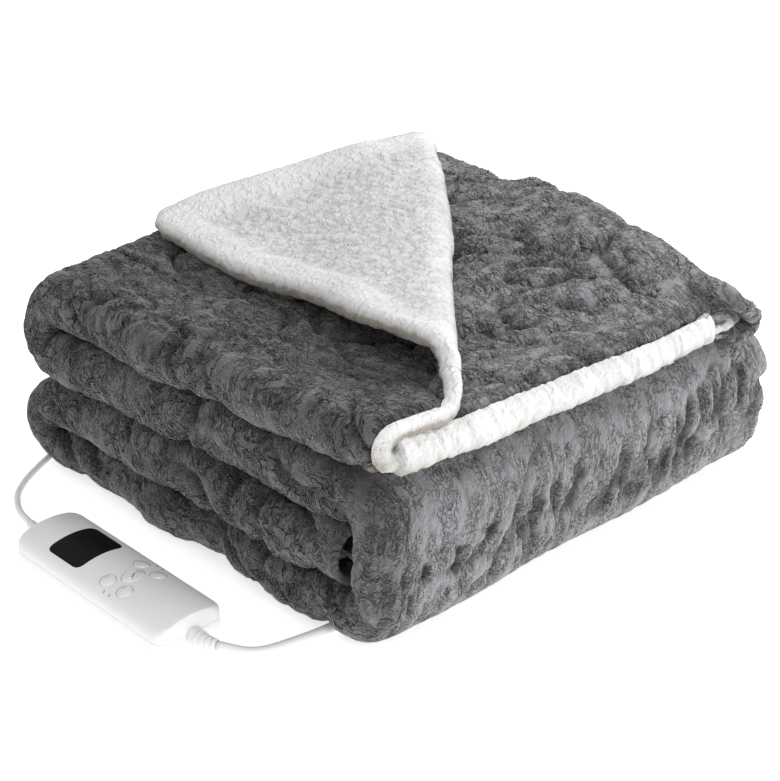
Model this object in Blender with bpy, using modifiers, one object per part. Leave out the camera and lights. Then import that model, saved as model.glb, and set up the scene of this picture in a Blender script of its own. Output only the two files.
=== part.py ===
"""Folded electric throw: a plush face on a fleece lining, its handset, cords and plug.

Metres, +Z up.  The folded throw stands with its left side on x = 0, its front on
y = 0 and its underside on z = 0.  The handset lies to its left.
"""
import math

import bmesh
import bpy
import numpy as np
from mathutils import Vector

# --- the cloth ---------------------------------------------------------------
FACE_THICK = 0.0056         # grey plush with its pile
LINING_THICK = 0.0044       # white fleece with its pile
CLOTH_GAP = 0.0006          # between the two cloths of a sheet
SHEET_AIR = 0.0017          # between two sheets of the strip
STRIP_AIR = 0.0012          # between two layers of the stack

SHEET = FACE_THICK + CLOTH_GAP + LINING_THICK
SHEET_PITCH = SHEET + SHEET_AIR
STRIP = 2 * SHEET_PITCH + SHEET
LAYER_PITCH = STRIP + STRIP_AIR

STACK_WIDTH = 0.396         # along x, turn to turn
STACK_DEPTH = 0.393         # along y, turn to turn
HEM_INSET = 0.004           # the front hem behind the front turn
SIDE_INSET = 0.002          # the upper sheet's hem inside the right side
FRONT_CORNER = 0.026        # the front turn's middle line at its two corners

SIDE_TURN = SHEET_PITCH                 # left turn, round the middle sheet's hem
TUCK_TURN = SHEET_PITCH / 2             # right turn
BACK_TURN = LAYER_PITCH / 2
LEFT_CENTRE = SIDE_TURN + SHEET / 2
RIGHT_CENTRE = STACK_WIDTH - TUCK_TURN - SHEET / 2
BACK_CENTRE = STACK_DEPTH - BACK_TURN - STRIP / 2
FRONT_CENTRE = FRONT_CORNER + STRIP / 2
FLOOR_SHEET = CLOTH_GAP / 2 + FACE_THICK    # height of the lowest sheet's middle
TOP_LAYER = FLOOR_SHEET + SHEET_PITCH + 3 * LAYER_PITCH

# Across the width, from the middle sheet's hem.  A row is a straight run (m) or
# a turn (radius m, degrees, left is positive), with its number of steps.  Sheets
# that lie on each other share their steps, so that their facets stay parallel.
CROSS_RUN = RIGHT_CENTRE - LEFT_CENTRE
WIDTH_FOLDS = (
    # name            run                                      radius     turn  steps
    ("middle sheet",  CROSS_RUN,                               0.0,        0.0,  4),
    ("right turn",    0.0,                                     TUCK_TURN,  -180.0, 5),
    ("lower sheet",   CROSS_RUN,                               0.0,        0.0,  4),
    ("left turn",     0.0,                                     SIDE_TURN,  -180.0, 6),
    ("upper sheet",   CROSS_RUN,                               0.0,        0.0,  4),
    ("upper hem",     STACK_WIDTH - SIDE_INSET - RIGHT_CENTRE, 0.0,        0.0,  1),
)
# Along the length, from the top layer's front hem.
LAYER_RUN = BACK_CENTRE - FRONT_CENTRE
TUNNEL_RUN = 0.038          # bottom layer, from the front turn to past the cord
LENGTH_FOLDS = (
    # name            run                                      radius     turn  steps
    ("front hem",     FRONT_CENTRE - HEM_INSET,                0.0,        0.0,  1),
    ("top layer",     LAYER_RUN,                               0.0,        0.0,  4),
    ("back turn",     0.0,                                     BACK_TURN, -180.0, 5),
    ("second layer",  LAYER_RUN,                               0.0,        0.0,  4),
    ("front upper",   0.0,                                     FRONT_CORNER, 90.0, 3),
    ("front drop",    2 * (LAYER_PITCH - FRONT_CORNER),        0.0,        0.0,  1),
    ("front lower",   0.0,                                     FRONT_CORNER, 90.0, 3),
    ("over the cord", TUNNEL_RUN,                              0.0,        0.0,  4),
    ("past the cord", LAYER_RUN / 4 - TUNNEL_RUN,              0.0,        0.0,  1),
    ("bottom layer",  LAYER_RUN * 3 / 4,                       0.0,        0.0,  3),
    ("rear turn",     0.0,                                     BACK_TURN,  180.0, 5),
    ("inner layer",   LAYER_RUN,                               0.0,        0.0,  4),
)
LAP_ROWS = 4                # width rows before the upper sheet
TOP_ROWS = 2                # length rows that make the top layer

# --- the corner folded back over the top -------------------------------------
FLAP_START = 0.051          # along the front hem, where the fold line begins
FLAP_HEM = 0.334            # up the side hem, where it ends
FLAP_SLIP = 0.046           # that end has slipped left by this much
FLAP_TIP = (0.104, 0.368)   # where the corner lies
FLAP_RADIUS = 0.0165        # of the bend, at the middle of the sheet
FLAP_LAND = 0.080           # run over which the flap comes down
ARCH_RISE = 0.010           # of the flap's side hem, between its corner and the bend
ARCH_PEAK = 1.3             # of a sine times one plus a cosine, highest a third of the way
ARCH_FADE = 0.090
FLAP_CUTS = (0, 30, 60, 90, 120, 150, 180, 240, 330)    # degrees of bend, as run
SLIP_END = 0.150            # the slip dies out over this run past the flap

FLAT_LINE = math.atan2(FLAP_HEM, STACK_WIDTH - SIDE_INSET - FLAP_START)
FOLD_LINE = math.atan2(FLAP_HEM, STACK_WIDTH - SIDE_INSET - FLAP_SLIP - FLAP_START)

# --- how the stack settles ---------------------------------------------------
BOTTOM_GROUP = 3 * LAYER_PITCH          # height of the three lower layers
# Growth in height over the even stack at its four corners.
SETTLE = {
    # group     front left, front right, back left, back right
    "lower":   (1.40,       1.14,        1.05,      1.18),
    "upper":   (1.00,       1.04,        1.01,      1.03),
}
SWAYS = (
    # axis moved, along, amplitude, wave length, phase, fade at the floor
    ("x", "y", 0.0020, 0.145, 0.4, 0.0),
    ("x", "z", 0.0022, 0.088, 1.9, 0.0),
    ("y", "x", 0.0018, 0.190, 2.2, 0.0),
    ("y", "z", 0.0016, 0.120, 0.7, 0.0),
    ("z", "x", 0.0014, 0.300, 1.1, 1.0),
    ("z", "y", 0.0014, 0.260, 2.9, 1.0),
)
NUDGES = (
    # group, middle across and along, spreads, then how far it moves right, back and up
    ("top",    0.370, 0.185, 0.150, 0.130, 0.000, 0.000, 0.0200),
    ("top",    0.020, 0.393, 0.110, 0.110, 0.012, -0.004, 0.0070),
    ("top",    0.200, 0.393, 0.120, 0.080, 0.000, 0.000, 0.0060),
    ("top",    0.396, 0.010, 0.100, 0.120, -0.017, 0.000, 0.0000),
    ("flap",   0.070, 0.020, 0.060, 0.070, -0.004, 0.012, 0.0000),
    ("flap",   0.345, 0.334, 0.060, 0.060, -0.009, 0.000, -0.0060),
    ("bottom", 0.000, 0.200, 0.060, 0.300, 0.010, 0.000, 0.0000),
)
TOP_FADE = 0.0330           # height over which the top layer's nudges grow
FLAP_FADE = 0.016
BOTTOM_FADE = 0.045
CORD_TUNNEL_Y = 0.0625      # the mains cord passes under the stack here
CORD_TUNNEL_HALF = 0.0185   # half the width that it lifts
CORD_TUNNEL_RISE = 0.0086

# --- the handset -------------------------------------------------------------
# Its own frame has x across it, y along it towards the blanket's back, z up.
HANDSET_PLACE = (-0.0620, 0.2005)
HANDSET_LONG = 0.168
HANDSET_WIDE = 0.057
HANDSET_SEAM = 0.0100       # where the bottom shell ends and the top shell begins
HANDSET_EDGE = 0.0180       # height of the top at its long sides
HANDSET_CROWN = 0.0065      # how far the middle stands above them
HANDSET_WALL = 0.0022
HANDSET_CORNER = 0.0100     # of its outline
HANDSET_ROUND = 0.0040      # of its long edges
CROWN_COLUMNS = (-0.0225, -0.018, -0.0135, -0.009, -0.0045, 0.0, 0.0045, 0.009, 0.0135, 0.018, 0.0225)
SEAM_GAP = 0.0003

DISPLAY_PLACE = 0.0350      # towards the back, from the middle
DISPLAY_LONG = 0.036
DISPLAY_WIDE = 0.041
DISPLAY_CORNER = 0.0050
DISPLAY_THICK = 0.0012
DISPLAY_LEDGE = 0.0030      # the width that carries the window all round
KEYS_PLACE = -0.0195        # middle of the five keys
KEY_FIT = 0.00035           # running gap round a key and over its flange
KEY_PROUD = 0.0004
KEY_EDGE = 0.0006           # of a key's top
KEY_FLANGE = 0.0008         # stands out under the housing and keeps the key in
KEY_FLANGE_THICK = 0.0010
KEY_STEPS = 28
KEYS = (
    # name         across   along    half width  half length
    ("key_centre", 0.0,     0.0,     0.0092,     0.0064),
    ("key_1",      -0.0147, 0.0094,  0.0058,     0.0058),
    ("key_2",      0.0147,  0.0094,  0.0058,     0.0058),
    ("key_3",      -0.0147, -0.0094, 0.0058,     0.0058),
    ("key_4",      0.0147,  -0.0094, 0.0058,     0.0058),
)

# --- cords -------------------------------------------------------------------
TOUCH = 0.0003              # gap between pieces that meet
LEAD_DIAMETER = 0.0050      # handset to blanket
MAINS_DIAMETER = 0.0070     # handset to plug
RELIEF_AXIS = 0.0085        # height of both cords where they leave the handset
RELIEF_FLANGE = (0.0010, 0.0010)        # inside the wall: width, thickness
RELIEF_STEPS = 20
RELIEFS = (
    # name            end    cord radius         length  neck radius  collar radius  ribs  bend
    ("lead_relief",   1.0,   LEAD_DIAMETER / 2,  0.020,  0.0034,      0.0046,        3,    0.080),
    ("mains_relief",  -1.0,  MAINS_DIAMETER / 2, 0.021,  0.0042,      0.0064,        4,    0.040),
)
COLLAR_LONG = 0.0045

LEAD_ROUTE = (
    # x, y, z of the middle line, from the lead relief to the coupler
    (-0.06044, 0.30471, 0.0085), (-0.0588, 0.3125, 0.0082), (-0.0560, 0.3215, 0.0062),
    (-0.0520, 0.3310, 0.0038), (-0.0460, 0.3425, 0.0027), (-0.0360, 0.3550, 0.0026),
    (-0.0170, 0.3680, 0.0026), (0.0110, 0.3810, 0.0026), (0.0420, 0.3940, 0.0026),
    (0.0780, 0.4020, 0.0026), (0.1180, 0.4045, 0.0026), (0.1600, 0.4045, 0.0026),
    (0.2000, 0.4040, 0.0028), (0.2350, 0.4033, 0.0045), (0.2600, 0.4030, 0.0064),
    (0.2720, 0.4030, 0.0067), (0.2794, 0.4030, 0.0068),
)
MAINS_ROUTE = (
    # from the mains relief, under the stack and to the coil on its right
    (-0.05853, 0.09569, 0.0085), (-0.05592, 0.0908, 0.0082), (-0.05028, 0.08372, 0.0066),
    (-0.0432, 0.0781, 0.0048), (-0.03235, 0.07336, 0.0037), (-0.0150, 0.0690, 0.0036),
    (0.0040, 0.0655, 0.0036), (0.0300, 0.0634, 0.0036), (0.0800, 0.0628, 0.0036),
    (0.1350, 0.0632, 0.0036), (0.1900, 0.0638, 0.0036), (0.2450, 0.0638, 0.0036),
    (0.3000, 0.0638, 0.0036), (0.3550, 0.0646, 0.0036), (0.4000, 0.0655, 0.0036),
    (0.4380, 0.0695, 0.0036), (0.4690, 0.0820, 0.0036), (0.4880, 0.1040, 0.0038),
    (0.4962, 0.1310, 0.0043), (0.4975, 0.1560, 0.0045), (0.4975, 0.1768, 0.0045),
)
CORD_STEP = 2.6             # diameters between the points of a cord's solid

COIL_CENTRE = (0.4520, 0.2030)
COIL_RADIUS = 0.0385        # middle of the turns
COIL_WIDE = 3               # turns side by side
COIL_HIGH = 2               # layers of turns
COIL_FLOOR = 0.0010         # a tie passes under the turns
COIL_STEPS = 40
COIL_OUTER = COIL_RADIUS + COIL_WIDE * MAINS_DIAMETER / 2

PLUG_RELIEF_LONG = 0.022
PLUG_RELIEF_COLLAR = 0.0062
PLUG_LONG = 0.036
PLUG_WIDE = 0.030
PLUG_HIGH = 0.022           # brings its cord out level with the coil's upper turns
PLUG_EDGE = 0.0040
PIN_LONG = 0.0170
PIN_ROOT = 0.0060           # how far a pin reaches into the body
PIN_WIDE = 0.0064
PIN_THICK = 0.0016
PIN_PITCH = 0.0127

SOCKET_PLACE = (0.3350, 0.4030)
SOCKET_LONG = 0.054
SOCKET_WIDE = 0.030
SOCKET_HIGH = 0.0130
SOCKET_EDGE = 0.0030
COUPLER_LONG = 0.028
COUPLER_WIDE = 0.022
COUPLER_HIGH = 0.0110
COUPLER_EDGE = 0.0025


def clear_scene():
    for old in list(bpy.data.objects):
        bpy.data.objects.remove(old, do_unlink=True)


def new_collection(name):
    group = bpy.data.collections.new(name)
    bpy.context.scene.collection.children.link(group)
    return group


def material(name, colour, roughness, metallic=0.0):
    mat = bpy.data.materials.new(name)
    mat.use_nodes = True
    shader = mat.node_tree.nodes["Principled BSDF"]
    shader.inputs["Base Color"].default_value = (*colour, 1.0)
    shader.inputs["Roughness"].default_value = roughness
    shader.inputs["Metallic"].default_value = metallic
    return mat


def add_object(name, data, group, mat):
    thing = bpy.data.objects.new(name, data)
    group.objects.link(thing)
    if mat is not None:
        data.materials.append(mat)
    return thing


def fold_length(folds):
    return sum(run + abs(math.radians(turn)) * radius for _, run, radius, turn, _ in folds)


def fold_stops(folds):
    """Run lengths at which the rows' steps fall."""
    stops = [0.0]
    for _, run, radius, turn, steps in folds:
        span = run + abs(math.radians(turn)) * radius
        stops += [stops[-1] + span * (step + 1) / steps for step in range(steps)]
    return stops


def walk_folds(folds, start, heading, runs):
    """Places and left-hand normals after the given runs along a folded line."""
    runs = np.asarray(runs, dtype=float)
    places = np.zeros(runs.shape + (2,))
    normals = np.zeros(runs.shape + (2,))
    at = np.array(start, dtype=float)
    angle = heading
    begun = 0.0
    last = len(folds) - 1
    for row, (_, run, radius, turn, _) in enumerate(folds):
        sweep = math.radians(turn)
        span = run + abs(sweep) * radius
        low = -1e9 if row == 0 else begun
        high = 1e9 if row == last else begun + span
        here = (runs >= low) & (runs <= high) if row == last else (runs >= low) & (runs < high)
        along = runs[here] - begun
        if radius == 0.0:
            ahead = np.array((math.cos(angle), math.sin(angle)))
            places[here] = at + along[:, None] * ahead
            normals[here] = (-math.sin(angle), math.cos(angle))
            at = at + run * ahead
        else:
            side = math.copysign(1.0, sweep)
            centre = at + side * radius * np.array((-math.sin(angle), math.cos(angle)))
            turned = angle + side * along / radius
            left = np.stack((-np.sin(turned), np.cos(turned)), axis=-1)
            places[here] = centre - side * radius * left
            normals[here] = left
            angle += sweep
            at = centre - side * radius * np.array((-math.sin(angle), math.cos(angle)))
        begun += span
    return places, normals


def slip_left(x, y, v):
    """Slides the upper sheet left towards the flap's far end."""
    line_x = np.minimum(FLAP_START + np.maximum(y, 0.0) / math.tan(FLAT_LINE),
                        STACK_WIDTH - SIDE_INSET)
    share = np.clip((x - LEFT_CENTRE) / (line_x - LEFT_CENTRE), 0.0, 1.0)
    hem_run = FLAP_HEM - HEM_INSET
    rising = np.clip((v + HEM_INSET) / FLAP_HEM, 0.0, 1.0)
    fading = np.cos(np.clip((v - hem_run) / SLIP_END, 0.0, 1.0) * math.pi / 2) ** 2
    return x - FLAP_SLIP * share * rising * fading


def bend_corner(x, y, z, v):
    """Folds the upper sheet's front corner back over its diagonal line.

    The flap is carried round the bend on the flat sheet's own line, then sheared and
    stretched a little, so that its corner comes to lie at FLAP_TIP.
    """
    past = (x - FLAP_START) * math.sin(FLAT_LINE) - y * math.cos(FLAT_LINE)
    along = (x - FLAP_START) * math.cos(FLAT_LINE) + y * math.sin(FLAT_LINE)
    along = along * math.cos(FLAT_LINE) / math.cos(FOLD_LINE)
    along = along * (1.0 - FLAP_SLIP / (STACK_WIDTH - SIDE_INSET - FLAP_START))
    corner_run = STACK_WIDTH - SIDE_INSET - FLAP_START
    corner_back = corner_run * math.sin(FLAT_LINE) - math.pi * FLAP_RADIUS
    corner_along = corner_run * math.cos(FLAT_LINE) ** 2 / math.cos(FOLD_LINE)
    corner_along *= 1.0 - FLAP_SLIP / corner_run
    tip_x, tip_y = FLAP_TIP[0] - FLAP_START, FLAP_TIP[1]
    tip_along = tip_x * math.cos(FOLD_LINE) + tip_y * math.sin(FOLD_LINE)
    tip_back = tip_y * math.cos(FOLD_LINE) - tip_x * math.sin(FOLD_LINE)
    shear = (tip_along - corner_along) / corner_back
    stretch = tip_back / corner_back

    angle = np.clip(past / FLAP_RADIUS, 0.0, math.pi)
    back = np.maximum(past - math.pi * FLAP_RADIUS, 0.0)
    out = FLAP_RADIUS * np.sin(angle) - stretch * back
    landed = SHEET_PITCH + (2 * FLAP_RADIUS - SHEET_PITCH) * np.exp(-((back / FLAP_LAND) ** 2))
    rise = np.where(back > 0.0, landed, FLAP_RADIUS * (1.0 - np.cos(angle)))
    hem_share = np.clip((v + HEM_INSET) / FLAP_HEM, 0.0, 1.0)
    from_hem = STACK_WIDTH - SIDE_INSET - x
    arch = np.sin(math.pi * hem_share) * (1.0 + np.cos(math.pi * hem_share)) / ARCH_PEAK
    arch = arch * np.exp(-(from_hem / ARCH_FADE) ** 2) * (1.0 - np.cos(angle)) / 2
    rise = rise + ARCH_RISE * arch
    along = along + shear * back
    bent_x = FLAP_START + along * math.cos(FOLD_LINE) + out * math.sin(FOLD_LINE)
    bent_y = along * math.sin(FOLD_LINE) - out * math.cos(FOLD_LINE)
    folded = past > 0.0
    x = np.where(folded, bent_x, slip_left(x, y, v))
    return x, np.where(folded, bent_y, y), z + np.where(folded, rise, 0.0)


def corner_blend(values, x, y):
    """Blends four corner values over the stack's plan."""
    right = np.clip(x / STACK_WIDTH, 0.0, 1.0)
    back = np.clip(y / STACK_DEPTH, 0.0, 1.0)
    front_left, front_right, back_left, back_right = values
    front = front_left * (1.0 - right) + front_right * right
    rear = back_left * (1.0 - right) + back_right * right
    return front * (1.0 - back) + rear * back


def settle(x, y, z):
    """Turns the even stack into the one that has settled and sways a little."""
    place = {"x": x, "y": y, "z": z}
    moved = dict(place)
    over_floor = z - FLOOR_SHEET
    lower = np.minimum(over_floor, BOTTOM_GROUP) * corner_blend(SETTLE["lower"], x, y)
    upper = np.maximum(over_floor - BOTTOM_GROUP, 0.0) * corner_blend(SETTLE["upper"], x, y)
    moved["z"] = FLOOR_SHEET + lower + upper
    for axis, along, amplitude, wave, phase, fade in SWAYS:
        strength = np.clip(over_floor / BOTTOM_GROUP, 0.0, 1.0) if fade else 1.0
        sway = amplitude * np.sin(2 * math.pi * place[along] / wave + phase)
        moved[axis] = moved[axis] + strength * sway
    strengths = {"top": np.clip((over_floor - BOTTOM_GROUP) / TOP_FADE + 0.5, 0.0, 1.0),
                 "flap": np.clip((over_floor - BOTTOM_GROUP - 2 * SHEET_PITCH) / FLAP_FADE, 0.0, 1.0),
                 "bottom": np.clip(1.0 - over_floor / BOTTOM_FADE, 0.0, 1.0)}
    for group, across, along, wide, long, *steps in NUDGES:
        bump = np.exp(-((x - across) / wide) ** 2 - ((y - along) / long) ** 2)
        for axis, step in zip("xyz", steps):
            moved[axis] = moved[axis] + step * bump * strengths[group]
    aside = np.clip((y - CORD_TUNNEL_Y) / CORD_TUNNEL_HALF, -1.0, 1.0)
    near = np.cos(aside * math.pi / 2) ** 2
    low = np.clip(1.0 - over_floor / BOTTOM_GROUP, 0.0, 1.0)
    moved["z"] = moved["z"] + CORD_TUNNEL_RISE * near * low
    return moved["x"], moved["y"], moved["z"]


def folded_place(u, v):
    """Where the middle of the sheet lies, u across its width and v along its length."""
    section, side = walk_folds(WIDTH_FOLDS, (LEFT_CENTRE, 0.0), 0.0, u)
    track, up = walk_folds(LENGTH_FOLDS, (HEM_INSET, TOP_LAYER), 0.0, v)
    x, height = section[..., 0], section[..., 1]
    y = track[..., 0] + height * up[..., 0]
    z = track[..., 1] + height * up[..., 1]
    upper = u > fold_length(WIDTH_FOLDS[:LAP_ROWS])
    on_top = v < fold_length(LENGTH_FOLDS[:TOP_ROWS])
    bent_x, bent_y, bent_z = bend_corner(x, y, z, v)
    x = np.where(upper, np.where(on_top, bent_x, slip_left(x, y, v)), x)
    y = np.where(upper & on_top, bent_y, y)
    z = np.where(upper & on_top, bent_z, z)
    return np.stack(settle(x, y, z), axis=-1)


def folded_sheet(u, v, offset):
    """A surface parallel to the middle of the sheet, offset towards the face."""
    step = 0.0002
    du = folded_place(u + step, v) - folded_place(u - step, v)
    dv = folded_place(u, v + step) - folded_place(u, v - step)
    normal = np.cross(du, dv)
    normal /= np.linalg.norm(normal, axis=-1, keepdims=True)
    return folded_place(u, v) + offset * normal


def flat_pattern():
    """The throw laid flat, with grid lines at the folds and cuts along the flap's bend."""
    across = fold_stops(WIDTH_FOLDS)
    along = fold_stops(LENGTH_FOLDS)
    pattern = bmesh.new()
    bmesh.ops.create_grid(pattern, x_segments=len(across) - 1, y_segments=len(along) - 1, size=0.5)
    for vert in pattern.verts:
        column = round((vert.co.x + 0.5) * (len(across) - 1))
        row = round((vert.co.y + 0.5) * (len(along) - 1))
        vert.co = (across[column], along[row], 0.0)
    upper_from = fold_length(WIDTH_FOLDS[:LAP_ROWS])
    normal = Vector((math.sin(FLAT_LINE), -math.cos(FLAT_LINE), 0.0))
    line_start = Vector((upper_from + FLAP_START - LEFT_CENTRE, -HEM_INSET, 0.0))
    for degrees in FLAP_CUTS:
        start = line_start + normal * math.radians(degrees) * FLAP_RADIUS
        corner = [face for face in pattern.faces
                  if face.calc_center_median().x > upper_from
                  and face.calc_center_median().y < BACK_CENTRE - HEM_INSET]
        parts = corner + list({edge for face in corner for edge in face.edges})
        parts += list({vert for face in corner for vert in face.verts})
        bmesh.ops.bisect_plane(pattern, geom=parts, dist=0.0005, plane_co=start, plane_no=normal)
    bmesh.ops.triangulate(pattern, faces=pattern.faces[:])
    return pattern


def make_cloth(name, offset, thickness, group, mat):
    """One cloth of the throw: an open surface on the folds, given its thickness."""
    pattern = flat_pattern()
    flat = np.array([vert.co for vert in pattern.verts])
    places = folded_sheet(flat[:, 0], flat[:, 1], offset)
    for vert, place in zip(pattern.verts, places):
        vert.co = Vector(place)
    data = bpy.data.meshes.new(name)
    pattern.to_mesh(data)
    pattern.free()
    cloth = add_object(name, data, group, mat)
    shell = cloth.modifiers.new("thickness", "SOLIDIFY")
    shell.thickness = thickness
    shell.offset = 0.0
    return cloth


def make_throw(group):
    face = material("grey plush", (0.105, 0.105, 0.110), 0.95)
    lining = material("white fleece", (0.82, 0.81, 0.78), 0.95)
    return [make_cloth("blanket_face", (CLOTH_GAP + FACE_THICK) / 2, FACE_THICK, group, face),
            make_cloth("blanket_lining", -(CLOTH_GAP + LINING_THICK) / 2, LINING_THICK,
                       group, lining)]


# --- shared shapes -----------------------------------------------------------

def mesh_object(name, shape, group, mat):
    data = bpy.data.meshes.new(name)
    shape.to_mesh(data)
    shape.free()
    return add_object(name, data, group, mat)


def block_shape(size, middle):
    shape = bmesh.new()
    bmesh.ops.create_cube(shape, size=1.0)
    bmesh.ops.scale(shape, vec=size, verts=shape.verts)
    bmesh.ops.translate(shape, vec=middle, verts=shape.verts)
    return shape


def round_uprights(shape, radius, segments):
    uprights = [edge for edge in shape.edges
                if abs(edge.verts[0].co.z - edge.verts[1].co.z) > 1e-5]
    bmesh.ops.bevel(shape, geom=uprights, offset=radius, segments=segments,
                    profile=0.5, affect="EDGES")


def turned_shape(profile, steps):
    """A profile of (radius, height), bottom to top and on the axis at both ends, turned."""
    shape = bmesh.new()
    line = [shape.verts.new((radius, 0.0, height)) for radius, height in profile]
    edges = [shape.edges.new(pair) for pair in zip(line, line[1:])]
    bmesh.ops.spin(shape, geom=line + edges, cent=(0.0, 0.0, 0.0), axis=(0.0, 0.0, 1.0),
                   angle=2 * math.pi, steps=steps, use_merge=True)
    bmesh.ops.remove_doubles(shape, verts=shape.verts, dist=1e-6)
    bmesh.ops.recalc_face_normals(shape, faces=shape.faces)
    return shape


def soften(thing, radius, segments=2):
    edge = thing.modifiers.new("rounded edges", "BEVEL")
    edge.width = radius
    edge.segments = segments
    edge.limit_method = "ANGLE"


def cut(thing, cutter):
    hole = thing.modifiers.new("cut by " + cutter.name, "BOOLEAN")
    hole.operation = "DIFFERENCE"
    hole.object = cutter


def as_cutter(thing):
    thing.hide_render = True
    thing.display_type = "WIRE"
    return thing


# --- the handset -------------------------------------------------------------

def crown(x):
    """How far the handset's arched top stands above its long sides."""
    return HANDSET_CROWN * (1.0 - (x / (HANDSET_WIDE / 2)) ** 2)


def follow_crown(shape, across=0.0, columns=CROWN_COLUMNS):
    """Cuts a shape into columns and lifts each point with the arch above it."""
    for column in columns:
        parts = shape.verts[:] + shape.edges[:] + shape.faces[:]
        bmesh.ops.bisect_plane(shape, geom=parts, dist=1e-6, plane_co=(column, 0.0, 0.0),
                               plane_no=(1.0, 0.0, 0.0))
    for vert in shape.verts:
        vert.co.z += crown(vert.co.x + across)
    bmesh.ops.triangulate(shape, faces=shape.faces[:])


def make_housing_half(name, low, high, open_side, group, mat):
    """One shell of the handset: a rounded box with one side open, given its wall.

    open_side is -1.0 for an open underside and 1.0 for an open top.
    """
    size = (HANDSET_WIDE, HANDSET_LONG, high - low)
    shape = block_shape(size, (0.0, 0.0, (low + high) / 2))
    opened = [face for face in shape.faces if face.normal.z * open_side > 0.5]
    bmesh.ops.delete(shape, geom=opened, context="FACES_ONLY")
    round_uprights(shape, HANDSET_CORNER, 6)
    closed = low if open_side > 0.0 else high
    rim = [edge for edge in shape.edges
           if all(abs(vert.co.z - closed) < 1e-6 for vert in edge.verts)]
    bmesh.ops.bevel(shape, geom=rim, offset=HANDSET_ROUND, segments=3, profile=0.5, affect="EDGES")
    if open_side < 0.0:
        for column in CROWN_COLUMNS:
            parts = shape.verts[:] + shape.edges[:] + shape.faces[:]
            bmesh.ops.bisect_plane(shape, geom=parts, dist=1e-6, plane_co=(column, 0.0, 0.0),
                                   plane_no=(1.0, 0.0, 0.0))
        for vert in shape.verts:
            vert.co.z += crown(vert.co.x) * (vert.co.z - low) / (high - low)
    bmesh.ops.triangulate(shape, faces=shape.faces[:])
    half = mesh_object(name, shape, group, mat)
    wall = half.modifiers.new("wall", "SOLIDIFY")
    wall.thickness = HANDSET_WALL
    wall.offset = -1.0
    wall.use_even_offset = True
    return half


def display_shape(margin, low, high):
    size = (DISPLAY_WIDE + 2 * margin, DISPLAY_LONG + 2 * margin, high - low)
    shape = block_shape(size, (0.0, DISPLAY_PLACE, HANDSET_EDGE + (low + high) / 2))
    round_uprights(shape, DISPLAY_CORNER + margin, 3)
    follow_crown(shape)
    return shape


def key_shape(across, half_wide, half_long, profile):
    shape = turned_shape(profile, KEY_STEPS)
    bmesh.ops.scale(shape, vec=(1.0, half_long / half_wide, 1.0), verts=shape.verts)
    follow_crown(shape, across, ())
    return shape


def make_handset(group, cutters, place):
    shell = material("white housing", (0.84, 0.83, 0.82), 0.38)
    glass = material("black window", (0.012, 0.012, 0.013), 0.12)
    button = material("white keys", (0.82, 0.81, 0.80), 0.45)
    top = make_housing_half("handset_top", HANDSET_SEAM + SEAM_GAP, HANDSET_EDGE, -1.0, group, shell)
    bottom = make_housing_half("handset_bottom", 0.0, HANDSET_SEAM, 1.0, group, shell)
    window = mesh_object("handset_display",
                         display_shape(0.0, -DISPLAY_THICK - TOUCH, -TOUCH), group, glass)
    recess = display_shape(TOUCH, -DISPLAY_THICK - 2 * TOUCH, HANDSET_EDGE)
    opening = display_shape(-DISPLAY_LEDGE, -HANDSET_EDGE / 2, HANDSET_EDGE)
    holes = [as_cutter(mesh_object("display recess", recess, cutters, None)),
             as_cutter(mesh_object("display opening", opening, cutters, None))]
    flange_top = -HANDSET_WALL - KEY_FIT
    made = [top, bottom, window]
    for name, across, along, half_wide, half_long in KEYS:
        flange = half_wide + KEY_FLANGE
        profile = ((0.0, flange_top - KEY_FLANGE_THICK), (flange, flange_top - KEY_FLANGE_THICK),
                   (flange, flange_top), (half_wide, flange_top), (half_wide, KEY_PROUD - KEY_EDGE),
                   (half_wide - KEY_EDGE, KEY_PROUD), (0.0, KEY_PROUD))
        key = mesh_object(name, key_shape(across, half_wide, half_long, profile), group, button)
        hole_profile = ((0.0, flange_top), (half_wide + KEY_FIT, flange_top),
                        (half_wide + KEY_FIT, HANDSET_EDGE), (0.0, HANDSET_EDGE))
        hole_shape = key_shape(across, half_wide + KEY_FIT, half_long + KEY_FIT, hole_profile)
        hole = as_cutter(mesh_object(name + " hole", hole_shape, cutters, None))
        key.location = hole.location = (across, KEYS_PLACE + along, HANDSET_EDGE)
        holes.append(hole)
        made.append(key)
    for hole in holes:
        cut(top, hole)
    for name, end, cord_radius, length, neck, collar, ribs, bend in RELIEFS:
        made.append(make_relief(name, end, cord_radius, length, neck, collar, ribs, bend, group))
        through = ((0.0, -3 * HANDSET_WALL), (neck + TOUCH, -3 * HANDSET_WALL),
                   (neck + TOUCH, HANDSET_WALL), (0.0, HANDSET_WALL))
        hole = as_cutter(mesh_object(name + " hole", turned_shape(through, RELIEF_STEPS),
                                     cutters, None))
        point_outward(hole, end)
        cut(top, hole)
        cut(bottom, hole)
        made.append(hole)
    for thing in made + holes:
        thing.parent = place


def point_outward(thing, end):
    """Stands a turned piece's axis out of the handset's back (1.0) or front (-1.0) end."""
    thing.location = (0.0, end * HANDSET_LONG / 2, RELIEF_AXIS)
    thing.rotation_euler = (-end * math.pi / 2, 0.0, 0.0)


def ribbed_tail(collar, cord_radius, start, length, ribs):
    """Profile rows of a tapering relief, from its collar to its tip on the axis."""
    rows = []
    for rib in range(ribs):
        for share, deep in ((0.05, 0.0008), (0.30, 0.0008), (0.40, 0.0), (0.95, 0.0)):
            done = (rib + share) / ribs
            radius = collar + (cord_radius + 0.0009 - collar) * done
            rows.append((radius - deep, start + (length - start) * done))
    return rows + [(cord_radius + 0.0006, length), (0.0, length)]


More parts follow.
